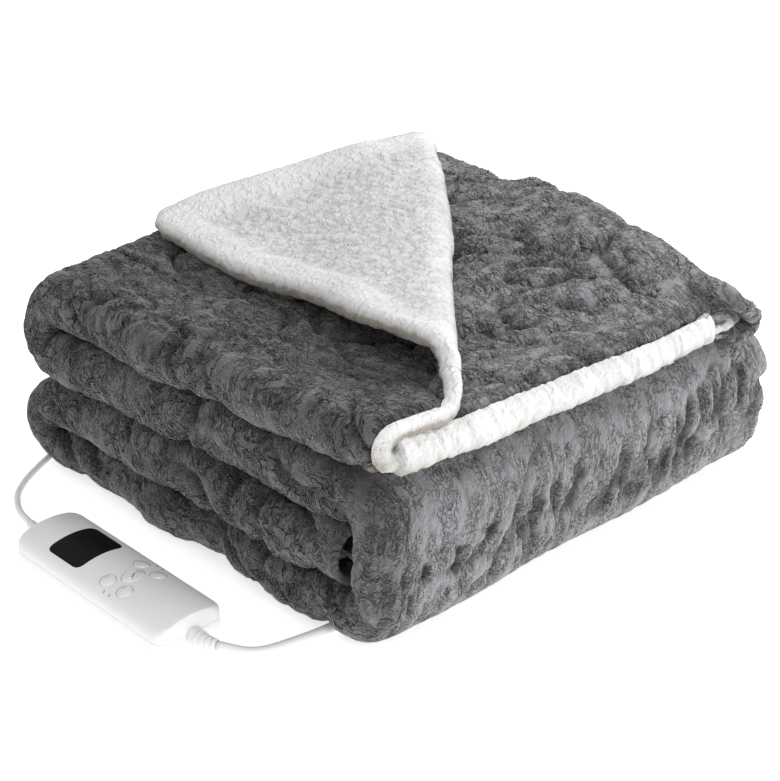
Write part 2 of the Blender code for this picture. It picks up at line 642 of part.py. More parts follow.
def make_relief(name, end, cord_radius, length, neck, collar, ribs, bend, group):
    """A ribbed strain relief, kept in the housing's wall by a flange inside it.

    Past its collar it follows the cord round an arc of radius bend, towards +x.
    """
    inside = -HANDSET_WALL - TOUCH
    flange = neck + RELIEF_FLANGE[0]
    profile = [(0.0, inside - RELIEF_FLANGE[1]), (flange, inside - RELIEF_FLANGE[1]),
               (flange, inside), (neck, inside), (neck, TOUCH), (collar, TOUCH),
               (collar, COLLAR_LONG)]
    profile += ribbed_tail(collar, cord_radius, COLLAR_LONG, length, ribs)
    rubber = material(name + " rubber", (0.80, 0.79, 0.78), 0.5)
    shape = turned_shape(profile, RELIEF_STEPS)
    for vert in shape.verts:
        if vert.co.z > COLLAR_LONG:
            angle = (vert.co.z - COLLAR_LONG) / bend
            out = bend - vert.co.x
            vert.co.x = bend - out * math.cos(angle)
            vert.co.z = COLLAR_LONG + out * math.sin(angle)
    relief = mesh_object(name, shape, group, rubber)
    point_outward(relief, end)
    return relief


# --- cords, plug and socket --------------------------------------------------

def smooth_route(route, spacing):
    """Points about a spacing apart on a smooth curve through the route's points."""
    points = np.array(route)
    knots = np.vstack((2 * points[0] - points[1], points, 2 * points[-1] - points[-2]))
    share = np.linspace(0.0, 1.0, 12, endpoint=False)[:, None]
    pieces = []
    for before, start, end, after in zip(knots, knots[1:], knots[2:], knots[3:]):
        pieces.append(start + 0.5 * share * (end - before
                      + share * (2 * before - 5 * start + 4 * end - after
                                 + share * (3 * (start - end) + after - before))))
    fine = np.vstack(pieces + [points[-1:]])
    runs = np.concatenate(([0.0], np.cumsum(np.linalg.norm(np.diff(fine, axis=0), axis=1))))
    end_step = spacing / 5          # keeps a cord's cut ends square to the line
    stops = np.linspace(end_step, runs[-1] - end_step, round(runs[-1] / spacing))
    stops = np.concatenate(([0.0], stops, runs[-1:]))
    return np.stack([np.interp(stops, runs, fine[:, axis]) for axis in range(3)], axis=-1)


def make_cord(name, route, diameter, group, mat):
    points = smooth_route(route, CORD_STEP * diameter)
    data = bpy.data.curves.new(name, "CURVE")
    data.dimensions = "3D"
    data.bevel_depth = diameter / 2
    data.bevel_resolution = 2
    data.use_fill_caps = True
    spline = data.splines.new("POLY")
    spline.points.add(len(points) - 1)
    for point, place in zip(spline.points, points):
        point.co = (*place, 1.0)
    return add_object(name, data, group, mat)


def make_coil(group, mat):
    """The outer shape of the wound cord: a ring with a round-cornered section."""
    low = COIL_FLOOR
    high = COIL_FLOOR + COIL_HIGH * MAINS_DIAMETER
    corner = MAINS_DIAMETER / 3
    inner = 2 * COIL_RADIUS - COIL_OUTER
    section = ((inner, low + corner), (inner, high - corner), (inner + corner, high),
               (COIL_OUTER - corner, high), (COIL_OUTER, high - corner),
               (COIL_OUTER, low + corner), (COIL_OUTER - corner, low), (inner + corner, low))
    shape = bmesh.new()
    line = [shape.verts.new((distance, 0.0, height)) for distance, height in section]
    edges = [shape.edges.new(pair) for pair in zip(line, line[1:] + line[:1])]
    bmesh.ops.spin(shape, geom=line + edges, cent=(0.0, 0.0, 0.0), axis=(0.0, 0.0, 1.0),
                   angle=2 * math.pi, steps=COIL_STEPS, use_merge=True)
    bmesh.ops.remove_doubles(shape, verts=shape.verts, dist=1e-6)
    bmesh.ops.recalc_face_normals(shape, faces=shape.faces)
    coil = mesh_object("mains_coil", shape, group, mat)
    coil.location = (*COIL_CENTRE, 0.0)
    return coil


def make_plug(group, cutters):
    """A two-pin plug on the floor, at the end of the turn that leaves the coil."""
    rubber = material("plug rubber", (0.80, 0.79, 0.78), 0.5)
    brass = material("plug pins", (0.72, 0.66, 0.50), 0.3, 1.0)
    tip_radius = MAINS_DIAMETER / 2 + 0.0009
    x = COIL_CENTRE[0] + COIL_RADIUS
    tip = COIL_CENTRE[1] + math.sqrt(COIL_OUTER ** 2 - (COIL_RADIUS - tip_radius) ** 2) + TOUCH
    back = tip + PLUG_RELIEF_LONG
    profile = [(0.0, TOUCH), (PLUG_RELIEF_COLLAR, TOUCH)]
    profile += ribbed_tail(PLUG_RELIEF_COLLAR, MAINS_DIAMETER / 2, 2 * TOUCH, PLUG_RELIEF_LONG, 3)
    relief = mesh_object("plug_relief", turned_shape(profile, RELIEF_STEPS), group, rubber)
    relief.location = (x, back, PLUG_HIGH / 2)
    relief.rotation_euler = (math.pi / 2, 0.0, 0.0)

    body = mesh_object("plug_body", block_shape((PLUG_WIDE, PLUG_LONG, PLUG_HIGH), (0.0, 0.0, 0.0)),
                       group, rubber)
    body.location = (x, back + PLUG_LONG / 2, PLUG_HIGH / 2)
    soften(body, PLUG_EDGE)
    made = [relief, body]
    for number, side in enumerate((-0.5, 0.5), 1):
        middle = (x + side * PIN_PITCH, back + PLUG_LONG + (PIN_LONG - PIN_ROOT) / 2, PLUG_HIGH / 2)
        size = (PIN_THICK, PIN_LONG + PIN_ROOT, PIN_WIDE)
        pin = mesh_object(f"plug_pin_{number}", block_shape(size, (0.0, 0.0, 0.0)), group, brass)
        pin.location = middle
        grown = tuple(side_length + 2 * TOUCH for side_length in size)
        slot = mesh_object(f"pin slot {number}", block_shape(grown, (0.0, 0.0, 0.0)), cutters, None)
        slot.location = middle
        cut(body, as_cutter(slot))
        made += [pin, slot]
    return made


def make_socket(group):
    """The blanket's flat socket, against the rear fold, and the lead's coupler beside it."""
    plastic = material("socket plastic", (0.78, 0.77, 0.76), 0.45)
    x, y = SOCKET_PLACE
    socket = mesh_object("blanket_socket",
                         block_shape((SOCKET_LONG, SOCKET_WIDE, SOCKET_HIGH), (0.0, 0.0, 0.0)),
                         group, plastic)
    socket.location = (x, y, SOCKET_HIGH / 2 + TOUCH)
    soften(socket, SOCKET_EDGE)
    coupler_x = x - SOCKET_LONG / 2 - TOUCH - COUPLER_LONG / 2
    coupler = mesh_object("lead_coupler",
                          block_shape((COUPLER_LONG, COUPLER_WIDE, COUPLER_HIGH), (0.0, 0.0, 0.0)),
                          group, plastic)
    coupler.location = (coupler_x, y, SOCKET_HIGH / 2 + TOUCH)
    soften(coupler, COUPLER_EDGE)
    return [socket, coupler]


def main():
    clear_scene()
    group = new_collection("electric heated throw")
    cutters = new_collection("cutters")
    # All places above are from the folded stack's front left corner, which stands off
    # the origin so that the middle of its underside is on it.
    corner = bpy.data.objects.new("stack corner", None)
    corner.location = (-STACK_WIDTH / 2, -STACK_DEPTH / 2, 0.0)
    group.objects.link(corner)
    handset = bpy.data.objects.new("handset place", None)
    handset.location = (*HANDSET_PLACE, 0.0)
    handset.parent = corner
    group.objects.link(handset)

    cord = material("white cord", (0.80, 0.79, 0.78), 0.5)
    pieces = make_throw(group)
    make_handset(group, cutters, handset)
    pieces.append(make_cord("lead_cord", LEAD_ROUTE, LEAD_DIAMETER, group, cord))
    pieces.append(make_cord("mains_cord", MAINS_ROUTE, MAINS_DIAMETER, group, cord))
    pieces.append(make_coil(group, cord))
    pieces += make_plug(group, cutters)
    pieces += make_socket(group)
    for piece in pieces:
        piece.parent = corner


main()
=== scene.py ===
# A folded electric throw: the looks of its plush, fleece, handset and cords.
import math

import bpy
import numpy as np
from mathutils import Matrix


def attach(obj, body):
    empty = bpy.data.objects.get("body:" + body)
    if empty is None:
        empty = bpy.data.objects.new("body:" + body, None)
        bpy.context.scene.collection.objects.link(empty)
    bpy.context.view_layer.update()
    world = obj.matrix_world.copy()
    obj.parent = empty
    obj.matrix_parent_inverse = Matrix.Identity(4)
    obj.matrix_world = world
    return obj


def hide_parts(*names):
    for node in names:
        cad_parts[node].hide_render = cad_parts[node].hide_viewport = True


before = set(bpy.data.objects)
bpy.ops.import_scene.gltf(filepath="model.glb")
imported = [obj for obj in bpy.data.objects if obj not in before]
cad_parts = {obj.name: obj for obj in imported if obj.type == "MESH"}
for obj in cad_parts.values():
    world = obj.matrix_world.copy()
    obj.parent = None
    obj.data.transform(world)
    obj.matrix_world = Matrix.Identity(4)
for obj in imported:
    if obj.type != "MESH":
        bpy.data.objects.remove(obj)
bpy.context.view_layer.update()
print("frame loaded,", len(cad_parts), "nodes")


def newPiece(name, places, faces, material, body="throw", smooth=True):
    # a mesh object from an array of places and a list of faces
    data = bpy.data.meshes.new(name)
    data.from_pydata(np.asarray(places).tolist(), [], faces)
    data.polygons.foreach_set("use_smooth", np.full(len(data.polygons), smooth))
    data.update()
    piece = bpy.data.objects.new(name, data)
    bpy.context.scene.collection.objects.link(piece)
    data.materials.append(material)
    if body:
        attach(piece, body)
    return piece


def loopFaces(rings, sides):
    # quads between closed rings of points that follow each other in one array
    ring, side = np.meshgrid(np.arange(rings - 1), np.arange(sides), indexing="ij")
    here = ring * sides + side
    beside = ring * sides + (side + 1) % sides
    return np.stack((here, beside, beside + sides, here + sides), axis=-1).reshape(-1, 4).tolist()


def tubeAlong(points, radii, sides):
    # rings round a line: each ring is radius * (cos a * sideways + sin a * upwards)
    points, radii = np.asarray(points, float), np.broadcast_to(radii, len(points))
    ahead = np.gradient(points, axis=0)
    ahead /= np.linalg.norm(ahead, axis=1, keepdims=True)
    sideways = np.cross(ahead, (0.0, 0.0, 1.0))
    sideways /= np.linalg.norm(sideways, axis=1, keepdims=True)
    upwards = np.cross(sideways, ahead)
    angle = np.linspace(0.0, 2 * math.pi, sides, endpoint=False)
    ring = (np.cos(angle)[None, :, None] * sideways[:, None]
            + np.sin(angle)[None, :, None] * upwards[:, None])
    places = points[:, None] + radii[:, None, None] * ring
    faces = loopFaces(len(points), sides)
    last = (len(points) - 1) * sides
    faces += [list(range(sides))[::-1], list(range(last, last + sides))]
    return places.reshape(-1, 3), faces


def smoothRoute(route, spacing):
    # an evenly stepped curve whose slope at each point is half the step from its neighbours
    points = np.array(route)
    knots = np.vstack((2 * points[0] - points[1], points, 2 * points[-1] - points[-2]))
    share = np.linspace(0.0, 1.0, 12, endpoint=False)[:, None]
    pieces = []
    for before, start, end, after in zip(knots, knots[1:], knots[2:], knots[3:]):
        pieces.append(start + 0.5 * share * (end - before
                      + share * (2 * before - 5 * start + 4 * end - after
                                 + share * (3 * (start - end) + after - before))))
    fine = np.vstack(pieces + [points[-1:]])
    runs = np.concatenate(([0.0], np.cumsum(np.linalg.norm(np.diff(fine, axis=0), axis=1))))
    stops = np.linspace(0.0, runs[-1], round(runs[-1] / spacing))
    return np.stack([np.interp(stops, runs, fine[:, axis]) for axis in range(3)], axis=-1)


def softNoise(x, y, size, seed):
    # a seeded square of random values, blended with smoothstep between its points, -1 to 1
    table = np.random.RandomState(seed).uniform(-1.0, 1.0, (64, 64))
    x, y = np.asarray(x) / size + 31.7, np.asarray(y) / size + 17.3
    column, row = np.floor(x).astype(int), np.floor(y).astype(int)
    right, up = x - column, y - row
    right, up = right * right * (3 - 2 * right), up * up * (3 - 2 * up)
    low = table[column % 64, row % 64] * (1 - right) + table[(column + 1) % 64, row % 64] * right
    high = (table[column % 64, (row + 1) % 64] * (1 - right)
            + table[(column + 1) % 64, (row + 1) % 64] * right)
    return low * (1 - up) + high * up


def addNode(tree, kind, inputs, **settings):
    # a shader node; each of its inputs is a value or another node's output
    node = tree.nodes.new("ShaderNode" + kind)
    for name, value in settings.items():
        setattr(node, name, value)
    for name, value in inputs.items():
        if isinstance(value, bpy.types.NodeSocket):
            tree.links.new(value, node.inputs[name])
        else:
            node.inputs[name].default_value = value
    return node.outputs


def addNoise(tree, vector, scale, detail=3.0, roughness=0.55):
    inputs = {"Vector": vector, "Scale": scale, "Detail": detail, "Roughness": roughness}
    return addNode(tree, "TexNoise", inputs)["Fac"]


def addBump(tree, height, distance, normal):
    inputs = {"Height": height, "Distance": distance, "Normal": normal}
    return addNode(tree, "Bump", inputs)["Normal"]


def addMath(tree, operation, *values):
    return addNode(tree, "Math", dict(enumerate(values)), operation=operation)[0]


def addRamp(tree, value, stops):
    # colours between stops of a position and a colour
    ramp = addNode(tree, "ValToRGB", {"Fac": value})["Color"]
    points = ramp.node.color_ramp.elements
    while len(points) < len(stops):
        points.new(0.5)
    for point, (position, colour) in zip(points, stops):
        point.position, point.color = position, (*colour, 1.0)
    return ramp


def newMaterial(name, values):
    # a material with its plain values on the shader's own sockets
    mat = bpy.data.materials.new(name)
    mat.use_nodes = True
    tree = mat.node_tree
    shader = tree.nodes["Principled BSDF"].inputs
    for label, value in values.items():
        shader[label].default_value = value
    return mat, tree, shader


def placeOn(tree):
    return addNode(tree, "TexCoord", {})["Object"]


def wayOut(tree):
    return addNode(tree, "NewGeometry", {})["Normal"]


def readTone(tree, name):
    # an attribute that writeLooks leaves on a mesh
    return addNode(tree, "Attribute", {}, attribute_name=name)["Fac"]


def newGroup(name, inputs, outputs):
    # a node group with named inputs and outputs; a number among the inputs is a default value
    group = bpy.data.node_groups.new(name, "ShaderNodeTree")
    for label, default in inputs.items():
        kind = "NodeSocketVector" if default is None else "NodeSocketFloat"
        socket = group.interface.new_socket(name=label, in_out="INPUT", socket_type=kind)
        if default is not None:
            socket.default_value = default
    for label, kind in outputs.items():
        group.interface.new_socket(name=label, in_out="OUTPUT", socket_type=kind)
    return group, group.nodes.new("NodeGroupInput").outputs, group.nodes.new("NodeGroupOutput").inputs


def makeGrainGroup():
    # noise over a surface as a tint and as a bump
    group, given, out = newGroup(
        "grain", {"Vector": None, "Normal": None, "Scale": 900.0, "Depth": 0.0008},
        {"Grain": "NodeSocketFloat", "Normal": "NodeSocketVector"})
    noise = addNoise(group, given["Vector"], given["Scale"], 2.0)
    group.links.new(noise, out["Grain"])
    group.links.new(addBump(group, noise, given["Depth"], given["Normal"]), out["Normal"])
    return group


def makeCreaseGroup():
    # thin lines where a noise passes its middle, 1 - |noise - 0.5| / width and not below 0, kept only
    # in the patches where a second, coarser noise is high
    group, given, out = newGroup(
        "creases", {"Vector": None, "Scale": 150.0, "Width": 0.05, "Patches": 60.0, "Open": 0.45},
        {"Lines": "NodeSocketFloat"})
    noise = addNoise(group, given["Vector"], given["Scale"], 2.0, 0.5)
    away = addMath(group, "ABSOLUTE", addMath(group, "SUBTRACT", noise, 0.5))
    inside = addMath(group, "SUBTRACT", 1.0, addMath(group, "DIVIDE", away, given["Width"]))
    lines = addMath(group, "MAXIMUM", inside, 0.0)
    patches = addNoise(group, given["Vector"], given["Patches"], 1.0, 0.5)
    over = addMath(group, "MULTIPLY", addMath(group, "SUBTRACT", patches, given["Open"]), 10.0)
    mask = addMath(group, "MINIMUM", addMath(group, "MAXIMUM", over, 0.0), 1.0)
    group.links.new(addMath(group, "MULTIPLY", lines, mask), out["Lines"])
    return group


grainGroup = makeGrainGroup()
creaseGroup = makeCreaseGroup()


def addGrain(tree, place, normal, scale, depth):
    inputs = {"Vector": place, "Normal": normal, "Scale": scale, "Depth": depth}
    return addNode(tree, "Group", inputs, node_tree=grainGroup)


plushFinish = {
    "shader": {"Roughness": 0.95, "Sheen Weight": 0.35},
    "tones": (
        (0.20, (0.026, 0.023, 0.021)),      # painted shade in a crack
        (0.40, (0.075, 0.074, 0.076)),
        (0.80, (0.297, 0.300, 0.320)),      # painted light on the pile
    ),
    "creases": (
        # direction on the flat cloth, long to wide, scale, width, patches, open above, darkness of its
        # painted shade, depth, and whether the cloth's own crinkle strength applies
        (4.0,   2.6, 150.0, 0.055, 60.0, 0.44, 0.85, 0.0032, True),
        (-38.0, 1.9, 120.0, 0.050, 45.0, 0.48, 0.75, 0.0028, True),
        (70.0,  1.3, 330.0, 0.085, 90.0, 0.42, 0.36, 0.0014, False),
    ),
    "grains": ((0.16, 150.0, 0.0020), (0.30, 420.0, 0.0014), (0.36, 950.0, 0.0008)),    # tint, scale, depth
}


def makePlush():
    # the cloth's painted tone (painted light and shade by side, painted shade in its creases), less painted
    # shade along its fine creases, plus three grains; creases and grains are bumps too
    mat, tree, shader = newMaterial("grey plush", plushFinish["shader"])
    place, normal = placeOn(tree), wayOut(tree)
    total, strength = readTone(tree, "shade"), readTone(tree, "crinkle")
    flat = addNode(tree, "UVMap", {}, uv_map="flat cloth")["UV"]
    for degrees, long, scale, width, patches, above, dark, depth, local in plushFinish["creases"]:
        turn = {"Vector": flat, "Rotation": (0.0, 0.0, math.radians(degrees)), "Scale": (1.0, long, 1.0)}
        inputs = {"Vector": addNode(tree, "Mapping", turn, vector_type="TEXTURE")["Vector"],
                  "Scale": scale, "Width": width, "Patches": patches, "Open": above}
        lines = addNode(tree, "Group", inputs, node_tree=creaseGroup)["Lines"]
        if local:
            lines = addMath(tree, "MULTIPLY", lines, strength)
        # painted shade along the fine creases
        total = addMath(tree, "MULTIPLY_ADD", lines, -dark, total)
        normal = addBump(tree, lines, -depth, normal)
    for weight, scale, depth in plushFinish["grains"]:
        grain = addGrain(tree, place, normal, scale, depth)
        total = addMath(tree, "MULTIPLY_ADD", grain["Grain"], weight, total)
        normal = grain["Normal"]
    colour = addRamp(tree, addMath(tree, "MULTIPLY", total, 0.5), plushFinish["tones"])
    tree.links.new(colour, shader["Base Color"])
    tree.links.new(normal, shader["Normal"])
    return mat


fleeceFinish = {
    "shader": {"Roughness": 0.95, "Sheen Weight": 0.2},
    "swirl": (130.0, 0.012),        # scale of the noise that bends the curls, and its share
    "curls": (250.0, 0.20, 0.0018),     # scale, painted shade between them and depth
    "grain": (800.0, 0.0005),
    "tones": (
        (0.0, (0.30, 0.27, 0.235)),     # painted shade deep between the curls
        (0.30, (0.50, 0.49, 0.475)),
        (0.62, (0.66, 0.66, 0.66)),
        (0.85, (0.82, 0.82, 0.82)),     # painted light on the band
    ),
}


def makeFleece():
    # round curls with painted shade between them, on the cloth's painted tone
    mat, tree, shader = newMaterial("white fleece", fleeceFinish["shader"])
    place = placeOn(tree)
    swirl = addNode(tree, "TexNoise", {"Vector": place, "Scale": fleeceFinish["swirl"][0]})["Color"]
    bent = addNode(tree, "Mix", {"Factor": fleeceFinish["swirl"][1], "A": place, "B": swirl},
                   data_type="VECTOR")["Result"]
    scale, dark, depth = fleeceFinish["curls"]
    curls = addNode(tree, "TexVoronoi", {"Vector": bent, "Scale": scale}, feature="SMOOTH_F1")["Distance"]
    # painted shade between the curls
    tone = addMath(tree, "MULTIPLY_ADD", curls, -dark, readTone(tree, "shade"))
    normal = addBump(tree, addMath(tree, "SUBTRACT", 1.0, curls), depth, wayOut(tree))
    normal = addGrain(tree, place, normal, *fleeceFinish["grain"])["Normal"]
    tree.links.new(addRamp(tree, tone, fleeceFinish["tones"]), shader["Base Color"])
    tree.links.new(normal, shader["Normal"])
    return mat


plasticFinish = {"speckle": 1500.0, "dust": 60.0, "depth": 0.00003, "dusty": 0.97}


def makePlastic(name, colour, roughness):
    # fine speckle as a bump, and a coarser dust that takes a little off the colour
    mat, tree, shader = newMaterial(name, {"Roughness": roughness})
    place, depth = placeOn(tree), plasticFinish["depth"]
    normal = addGrain(tree, place, wayOut(tree), plasticFinish["speckle"], depth)["Normal"]
    dust = addGrain(tree, place, normal, plasticFinish["dust"], depth)["Grain"]
    dusty = tuple(plasticFinish["dusty"] * part for part in colour)
    tree.links.new(addRamp(tree, dust, ((0.2, dusty), (0.8, colour))), shader["Base Color"])
    tree.links.new(normal, shader["Normal"])
    return mat


glassFinish = {
    "shader": {"Roughness": 0.5, "Specular IOR Level": 0.12},
    "smear": 40.0,
    "tones": ((0.3, (0.004, 0.004, 0.005)), (0.7, (0.007, 0.007, 0.008))),
}


def makeGlass():
    # black with a faint smear
    mat, tree, shader = newMaterial("black window", glassFinish["shader"])
    smear = addNoise(tree, placeOn(tree), glassFinish["smear"])
    tree.links.new(addRamp(tree, smear, glassFinish["tones"]), shader["Base Color"])
    return mat


plush = makePlush()
fleece = makeFleece()
ink = makePlastic("grey marks", (0.30, 0.30, 0.31), 0.6)
finishes = {
    # by the record's slot
    "housing_white": makePlastic("housing white", (0.86, 0.855, 0.85), 0.35),
    "key_white": makePlastic("key white", (0.86, 0.855, 0.85), 0.42),
    "fitting_white": makePlastic("fitting white", (0.80, 0.795, 0.79), 0.45),
    "cord_white": makePlastic("cord white", (0.84, 0.835, 0.83), 0.42),
    "pin_metal": makePlastic("plug pins", (0.72, 0.66, 0.50), 0.3),
    "display_black": makeGlass(),
}
print("materials made")


# the throw's folds are those of the part's source, but for three nudges at the top's front right
throw = {
    "face": 0.0056,         # grey plush with its pile
    "lining": 0.0044,       # white fleece with its pile
    "gap": 0.0006,          # between the two cloths
    "sheetAir": 0.0017,     # between two sheets of the strip
    "stripAir": 0.0012,     # between two layers of the stack
    "width": 0.396,         # of the folded stack
    "depth": 0.393,
    "hemInset": 0.004,      # the front hem behind the front turn
    "sideInset": 0.002,     # the upper hem inside the right side
    "frontCorner": 0.026,   # radius of the front turn's two corners
    "flapStart": 0.051,     # along the front hem, where the flap's fold begins
    "flapHem": 0.334,       # up the side hem, where it ends
    "flapSlip": 0.046,      # that end has slipped left by this much
    "flapTip": (0.104, 0.368),
    "flapRadius": 0.0165,
    "flapLand": 0.080,      # run over which the flap comes down
    "slipEnd": 0.150,       # the slip dies out over this run past the flap
    "archRise": 0.010,      # of the flap's side hem, between its corner and the bend
    "archPeak": 1.3,        # of a sine times one plus a cosine, highest a third of the way
    "archFade": 0.090,
    "tunnelPlace": 0.0625,  # where the mains cord passes under
    "tunnelHalf": 0.0185,
    "tunnelRise": 0.0086,
}
sheet = throw["face"] + throw["gap"] + throw["lining"]
sheetPitch = sheet + throw["sheetAir"]
strip = 2 * sheetPitch + sheet
layerPitch = strip + throw["stripAir"]
sideTurn = sheetPitch
tuckTurn = sheetPitch / 2
backTurn = layerPitch / 2
leftCentre = sideTurn + sheet / 2
rightCentre = throw["width"] - tuckTurn - sheet / 2
backCentre = throw["depth"] - backTurn - strip / 2
frontCentre = throw["frontCorner"] + strip / 2
floorSheet = throw["gap"] / 2 + throw["face"]
topLayer = floorSheet + sheetPitch + 3 * layerPitch
crossRun = rightCentre - leftCentre
layerRun = backCentre - frontCentre
lowerGroup = 3 * layerPitch
flapSpan = throw["width"] - throw["sideInset"] - throw["flapStart"]
flatLine = math.atan2(throw["flapHem"], flapSpan)
foldLine = math.atan2(throw["flapHem"], flapSpan - throw["flapSlip"])

widthFolds = (
    # name           run        radius    degrees, left is positive
    ("middle sheet", crossRun,  0.0,       0.0),
    ("right turn",   0.0,       tuckTurn, -180.0),
    ("lower sheet",  crossRun,  0.0,       0.0),
    ("left turn",    0.0,       sideTurn, -180.0),
    ("upper sheet",  crossRun,  0.0,       0.0),
    ("upper hem",    throw["width"] - throw["sideInset"] - rightCentre, 0.0, 0.0),
)
lengthFolds = (
    ("front hem",    frontCentre - throw["hemInset"], 0.0, 0.0),
    ("top layer",    layerRun,  0.0,       0.0),
    ("back turn",    0.0,       backTurn, -180.0),
    ("second layer", layerRun,  0.0,       0.0),
    ("front upper",  0.0,       throw["frontCorner"], 90.0),
    ("front drop",   2 * (layerPitch - throw["frontCorner"]), 0.0, 0.0),
    ("front lower",  0.0,       throw["frontCorner"], 90.0),
    ("bottom layer", layerRun,  0.0,       0.0),
    ("rear turn",    0.0,       backTurn,  180.0),
    ("inner layer",  layerRun,  0.0,       0.0),
)
nudges = (
    # group, middle across and along, spreads, then how far it moves right, back and up
    ("top",    0.370, 0.185, 0.150, 0.130, 0.000, 0.000, 0.0200),
    ("top",    0.020, 0.393, 0.110, 0.110, 0.012, -0.004, 0.0070),
    ("top",    0.200, 0.393, 0.120, 0.080, 0.000, 0.000, 0.0060),
    ("top",    0.396, 0.010, 0.100, 0.120, -0.040, 0.000, 0.0000),
    ("top",    0.390, 0.085, 0.075, 0.060, 0.006, 0.000, 0.0120),
    ("top",    0.390, 0.265, 0.060, 0.060, 0.000, 0.000, -0.0060),
    ("flap",   0.070, 0.020, 0.060, 0.070, -0.004, 0.012, 0.0000),
    ("flap",   0.345, 0.334, 0.060, 0.060, -0.009, 0.000, -0.0060),
    ("bottom", 0.000, 0.200, 0.060, 0.300, 0.010, 0.000, 0.0000),
)
topFade = 0.0330            # height over which the top layer's nudges grow
flapFade = 0.016
bottomFade = 0.045
settleLower = (1.40, 1.14, 1.05, 1.18)      # growth at front left, front right, back left, back right
settleUpper = (1.00, 1.04, 1.01, 1.03)
sways = (
    # axis moved, along, amplitude, wave length, phase, fade at the floor
    (0, 1, 0.0020, 0.145, 0.4, False), (0, 2, 0.0022, 0.088, 1.9, False),
    (1, 0, 0.0018, 0.190, 2.2, False), (1, 2, 0.0016, 0.120, 0.7, False),
    (2, 0, 0.0014, 0.300, 1.1, True), (2, 1, 0.0014, 0.260, 2.9, True),
)


def foldSpan(fold):
    # its run, or its angle times its radius
    return fold[1] + abs(math.radians(fold[3])) * fold[2]


def foldEnds(folds):
    # where each fold starts and ends on the flat cloth
    stops = np.concatenate(([0.0], np.cumsum([foldSpan(fold) for fold in folds])))
    return {fold[0]: ends for fold, ends in zip(folds, zip(stops, stops[1:]))}


widthEnds, lengthEnds = foldEnds(widthFolds), foldEnds(lengthFolds)
rightEnds, leftEnds = widthEnds["right turn"], widthEnds["left turn"]
backEnds = lengthEnds["back turn"]
frontEnds = lengthEnds["front upper"][0], lengthEnds["front lower"][1]
flatWidth, flatLength = widthEnds["upper hem"][1], lengthEnds["inner layer"][1]


def walkFolds(folds, start, runs):
    # a line of straight runs and arcs: each place is the run's start plus its distance ahead, or the
    # arc's centre plus its radius turned by distance / radius; normals point left of the line
    places, normals = np.zeros(runs.shape + (2,)), np.zeros(runs.shape + (2,))
    at, angle, begun = np.array(start), 0.0, 0.0
    for number, fold in enumerate(folds):
        _, run, radius, degrees = fold
        low = -1e9 if number == 0 else begun
        high = 1e9 if number == len(folds) - 1 else begun + foldSpan(fold)
        here = (runs >= low) & (runs < high)
        along = runs[here] - begun
        if radius == 0.0:
            ahead = np.array((math.cos(angle), math.sin(angle)))
            places[here] = at + along[:, None] * ahead
            normals[here] = (-math.sin(angle), math.cos(angle))
            at = at + run * ahead
        else:
            side = math.copysign(1.0, degrees)
            centre = at + side * radius * np.array((-math.sin(angle), math.cos(angle)))
            turned = angle + side * along / radius
            left = np.stack((-np.sin(turned), np.cos(turned)), axis=-1)
            places[here] = centre - side * radius * left
            normals[here] = left
            angle += math.radians(degrees)
            at = centre - side * radius * np.array((-math.sin(angle), math.cos(angle)))
        begun += foldSpan(fold)
    return places, normals


def slipLeft(x, y, v):
    # the upper sheet slides left in proportion to its distance from the left turn
    lineX = np.minimum(throw["flapStart"] + np.maximum(y, 0.0) / math.tan(flatLine),
                       throw["width"] - throw["sideInset"])
    share = np.clip((x - leftCentre) / (lineX - leftCentre), 0.0, 1.0)
    rising = np.clip((v + throw["hemInset"]) / throw["flapHem"], 0.0, 1.0)
    past = np.clip((v - throw["flapHem"] + throw["hemInset"]) / throw["slipEnd"], 0.0, 1.0)
    return x - throw["flapSlip"] * share * rising * np.cos(past * math.pi / 2) ** 2


def bendCorner(x, y, z, v):
    # past the fold line the sheet goes round a half circle, then lands along a bell curve;
    # a shear and a stretch bring its corner to the flap's tip
    radius = throw["flapRadius"]
    past = (x - throw["flapStart"]) * math.sin(flatLine) - y * math.cos(flatLine)
    along = (x - throw["flapStart"]) * math.cos(flatLine) + y * math.sin(flatLine)
    along = along * math.cos(flatLine) / math.cos(foldLine) * (1.0 - throw["flapSlip"] / flapSpan)
    cornerBack = flapSpan * math.sin(flatLine) - math.pi * radius
    cornerAlong = flapSpan * math.cos(flatLine) ** 2 / math.cos(foldLine)
    cornerAlong *= 1.0 - throw["flapSlip"] / flapSpan
    tipX, tipY = throw["flapTip"][0] - throw["flapStart"], throw["flapTip"][1]
    tipAlong = tipX * math.cos(foldLine) + tipY * math.sin(foldLine)
    tipBack = tipY * math.cos(foldLine) - tipX * math.sin(foldLine)
    angle = np.clip(past / radius, 0.0, math.pi)
    back = np.maximum(past - math.pi * radius, 0.0)
    out = radius * np.sin(angle) - tipBack / cornerBack * back
    landed = sheetPitch + (2 * radius - sheetPitch) * np.exp(-((back / throw["flapLand"]) ** 2))
    rise = np.where(back > 0.0, landed, radius * (1.0 - np.cos(angle)))
    hemShare = np.clip((v + throw["hemInset"]) / throw["flapHem"], 0.0, 1.0)
    fromHem = throw["width"] - throw["sideInset"] - x
    arch = np.sin(math.pi * hemShare) * (1.0 + np.cos(math.pi * hemShare)) / throw["archPeak"]
    arch = arch * np.exp(-(fromHem / throw["archFade"]) ** 2) * (1.0 - np.cos(angle)) / 2
    rise = rise + throw["archRise"] * arch
    along = along + (tipAlong - cornerAlong) / cornerBack * back
    bentX = throw["flapStart"] + along * math.cos(foldLine) + out * math.sin(foldLine)
    bentY = along * math.sin(foldLine) - out * math.cos(foldLine)
    folded = past > 0.0
    x = np.where(folded, bentX, slipLeft(x, y, v))
    return x, np.where(folded, bentY, y), z + np.where(folded, rise, 0.0)


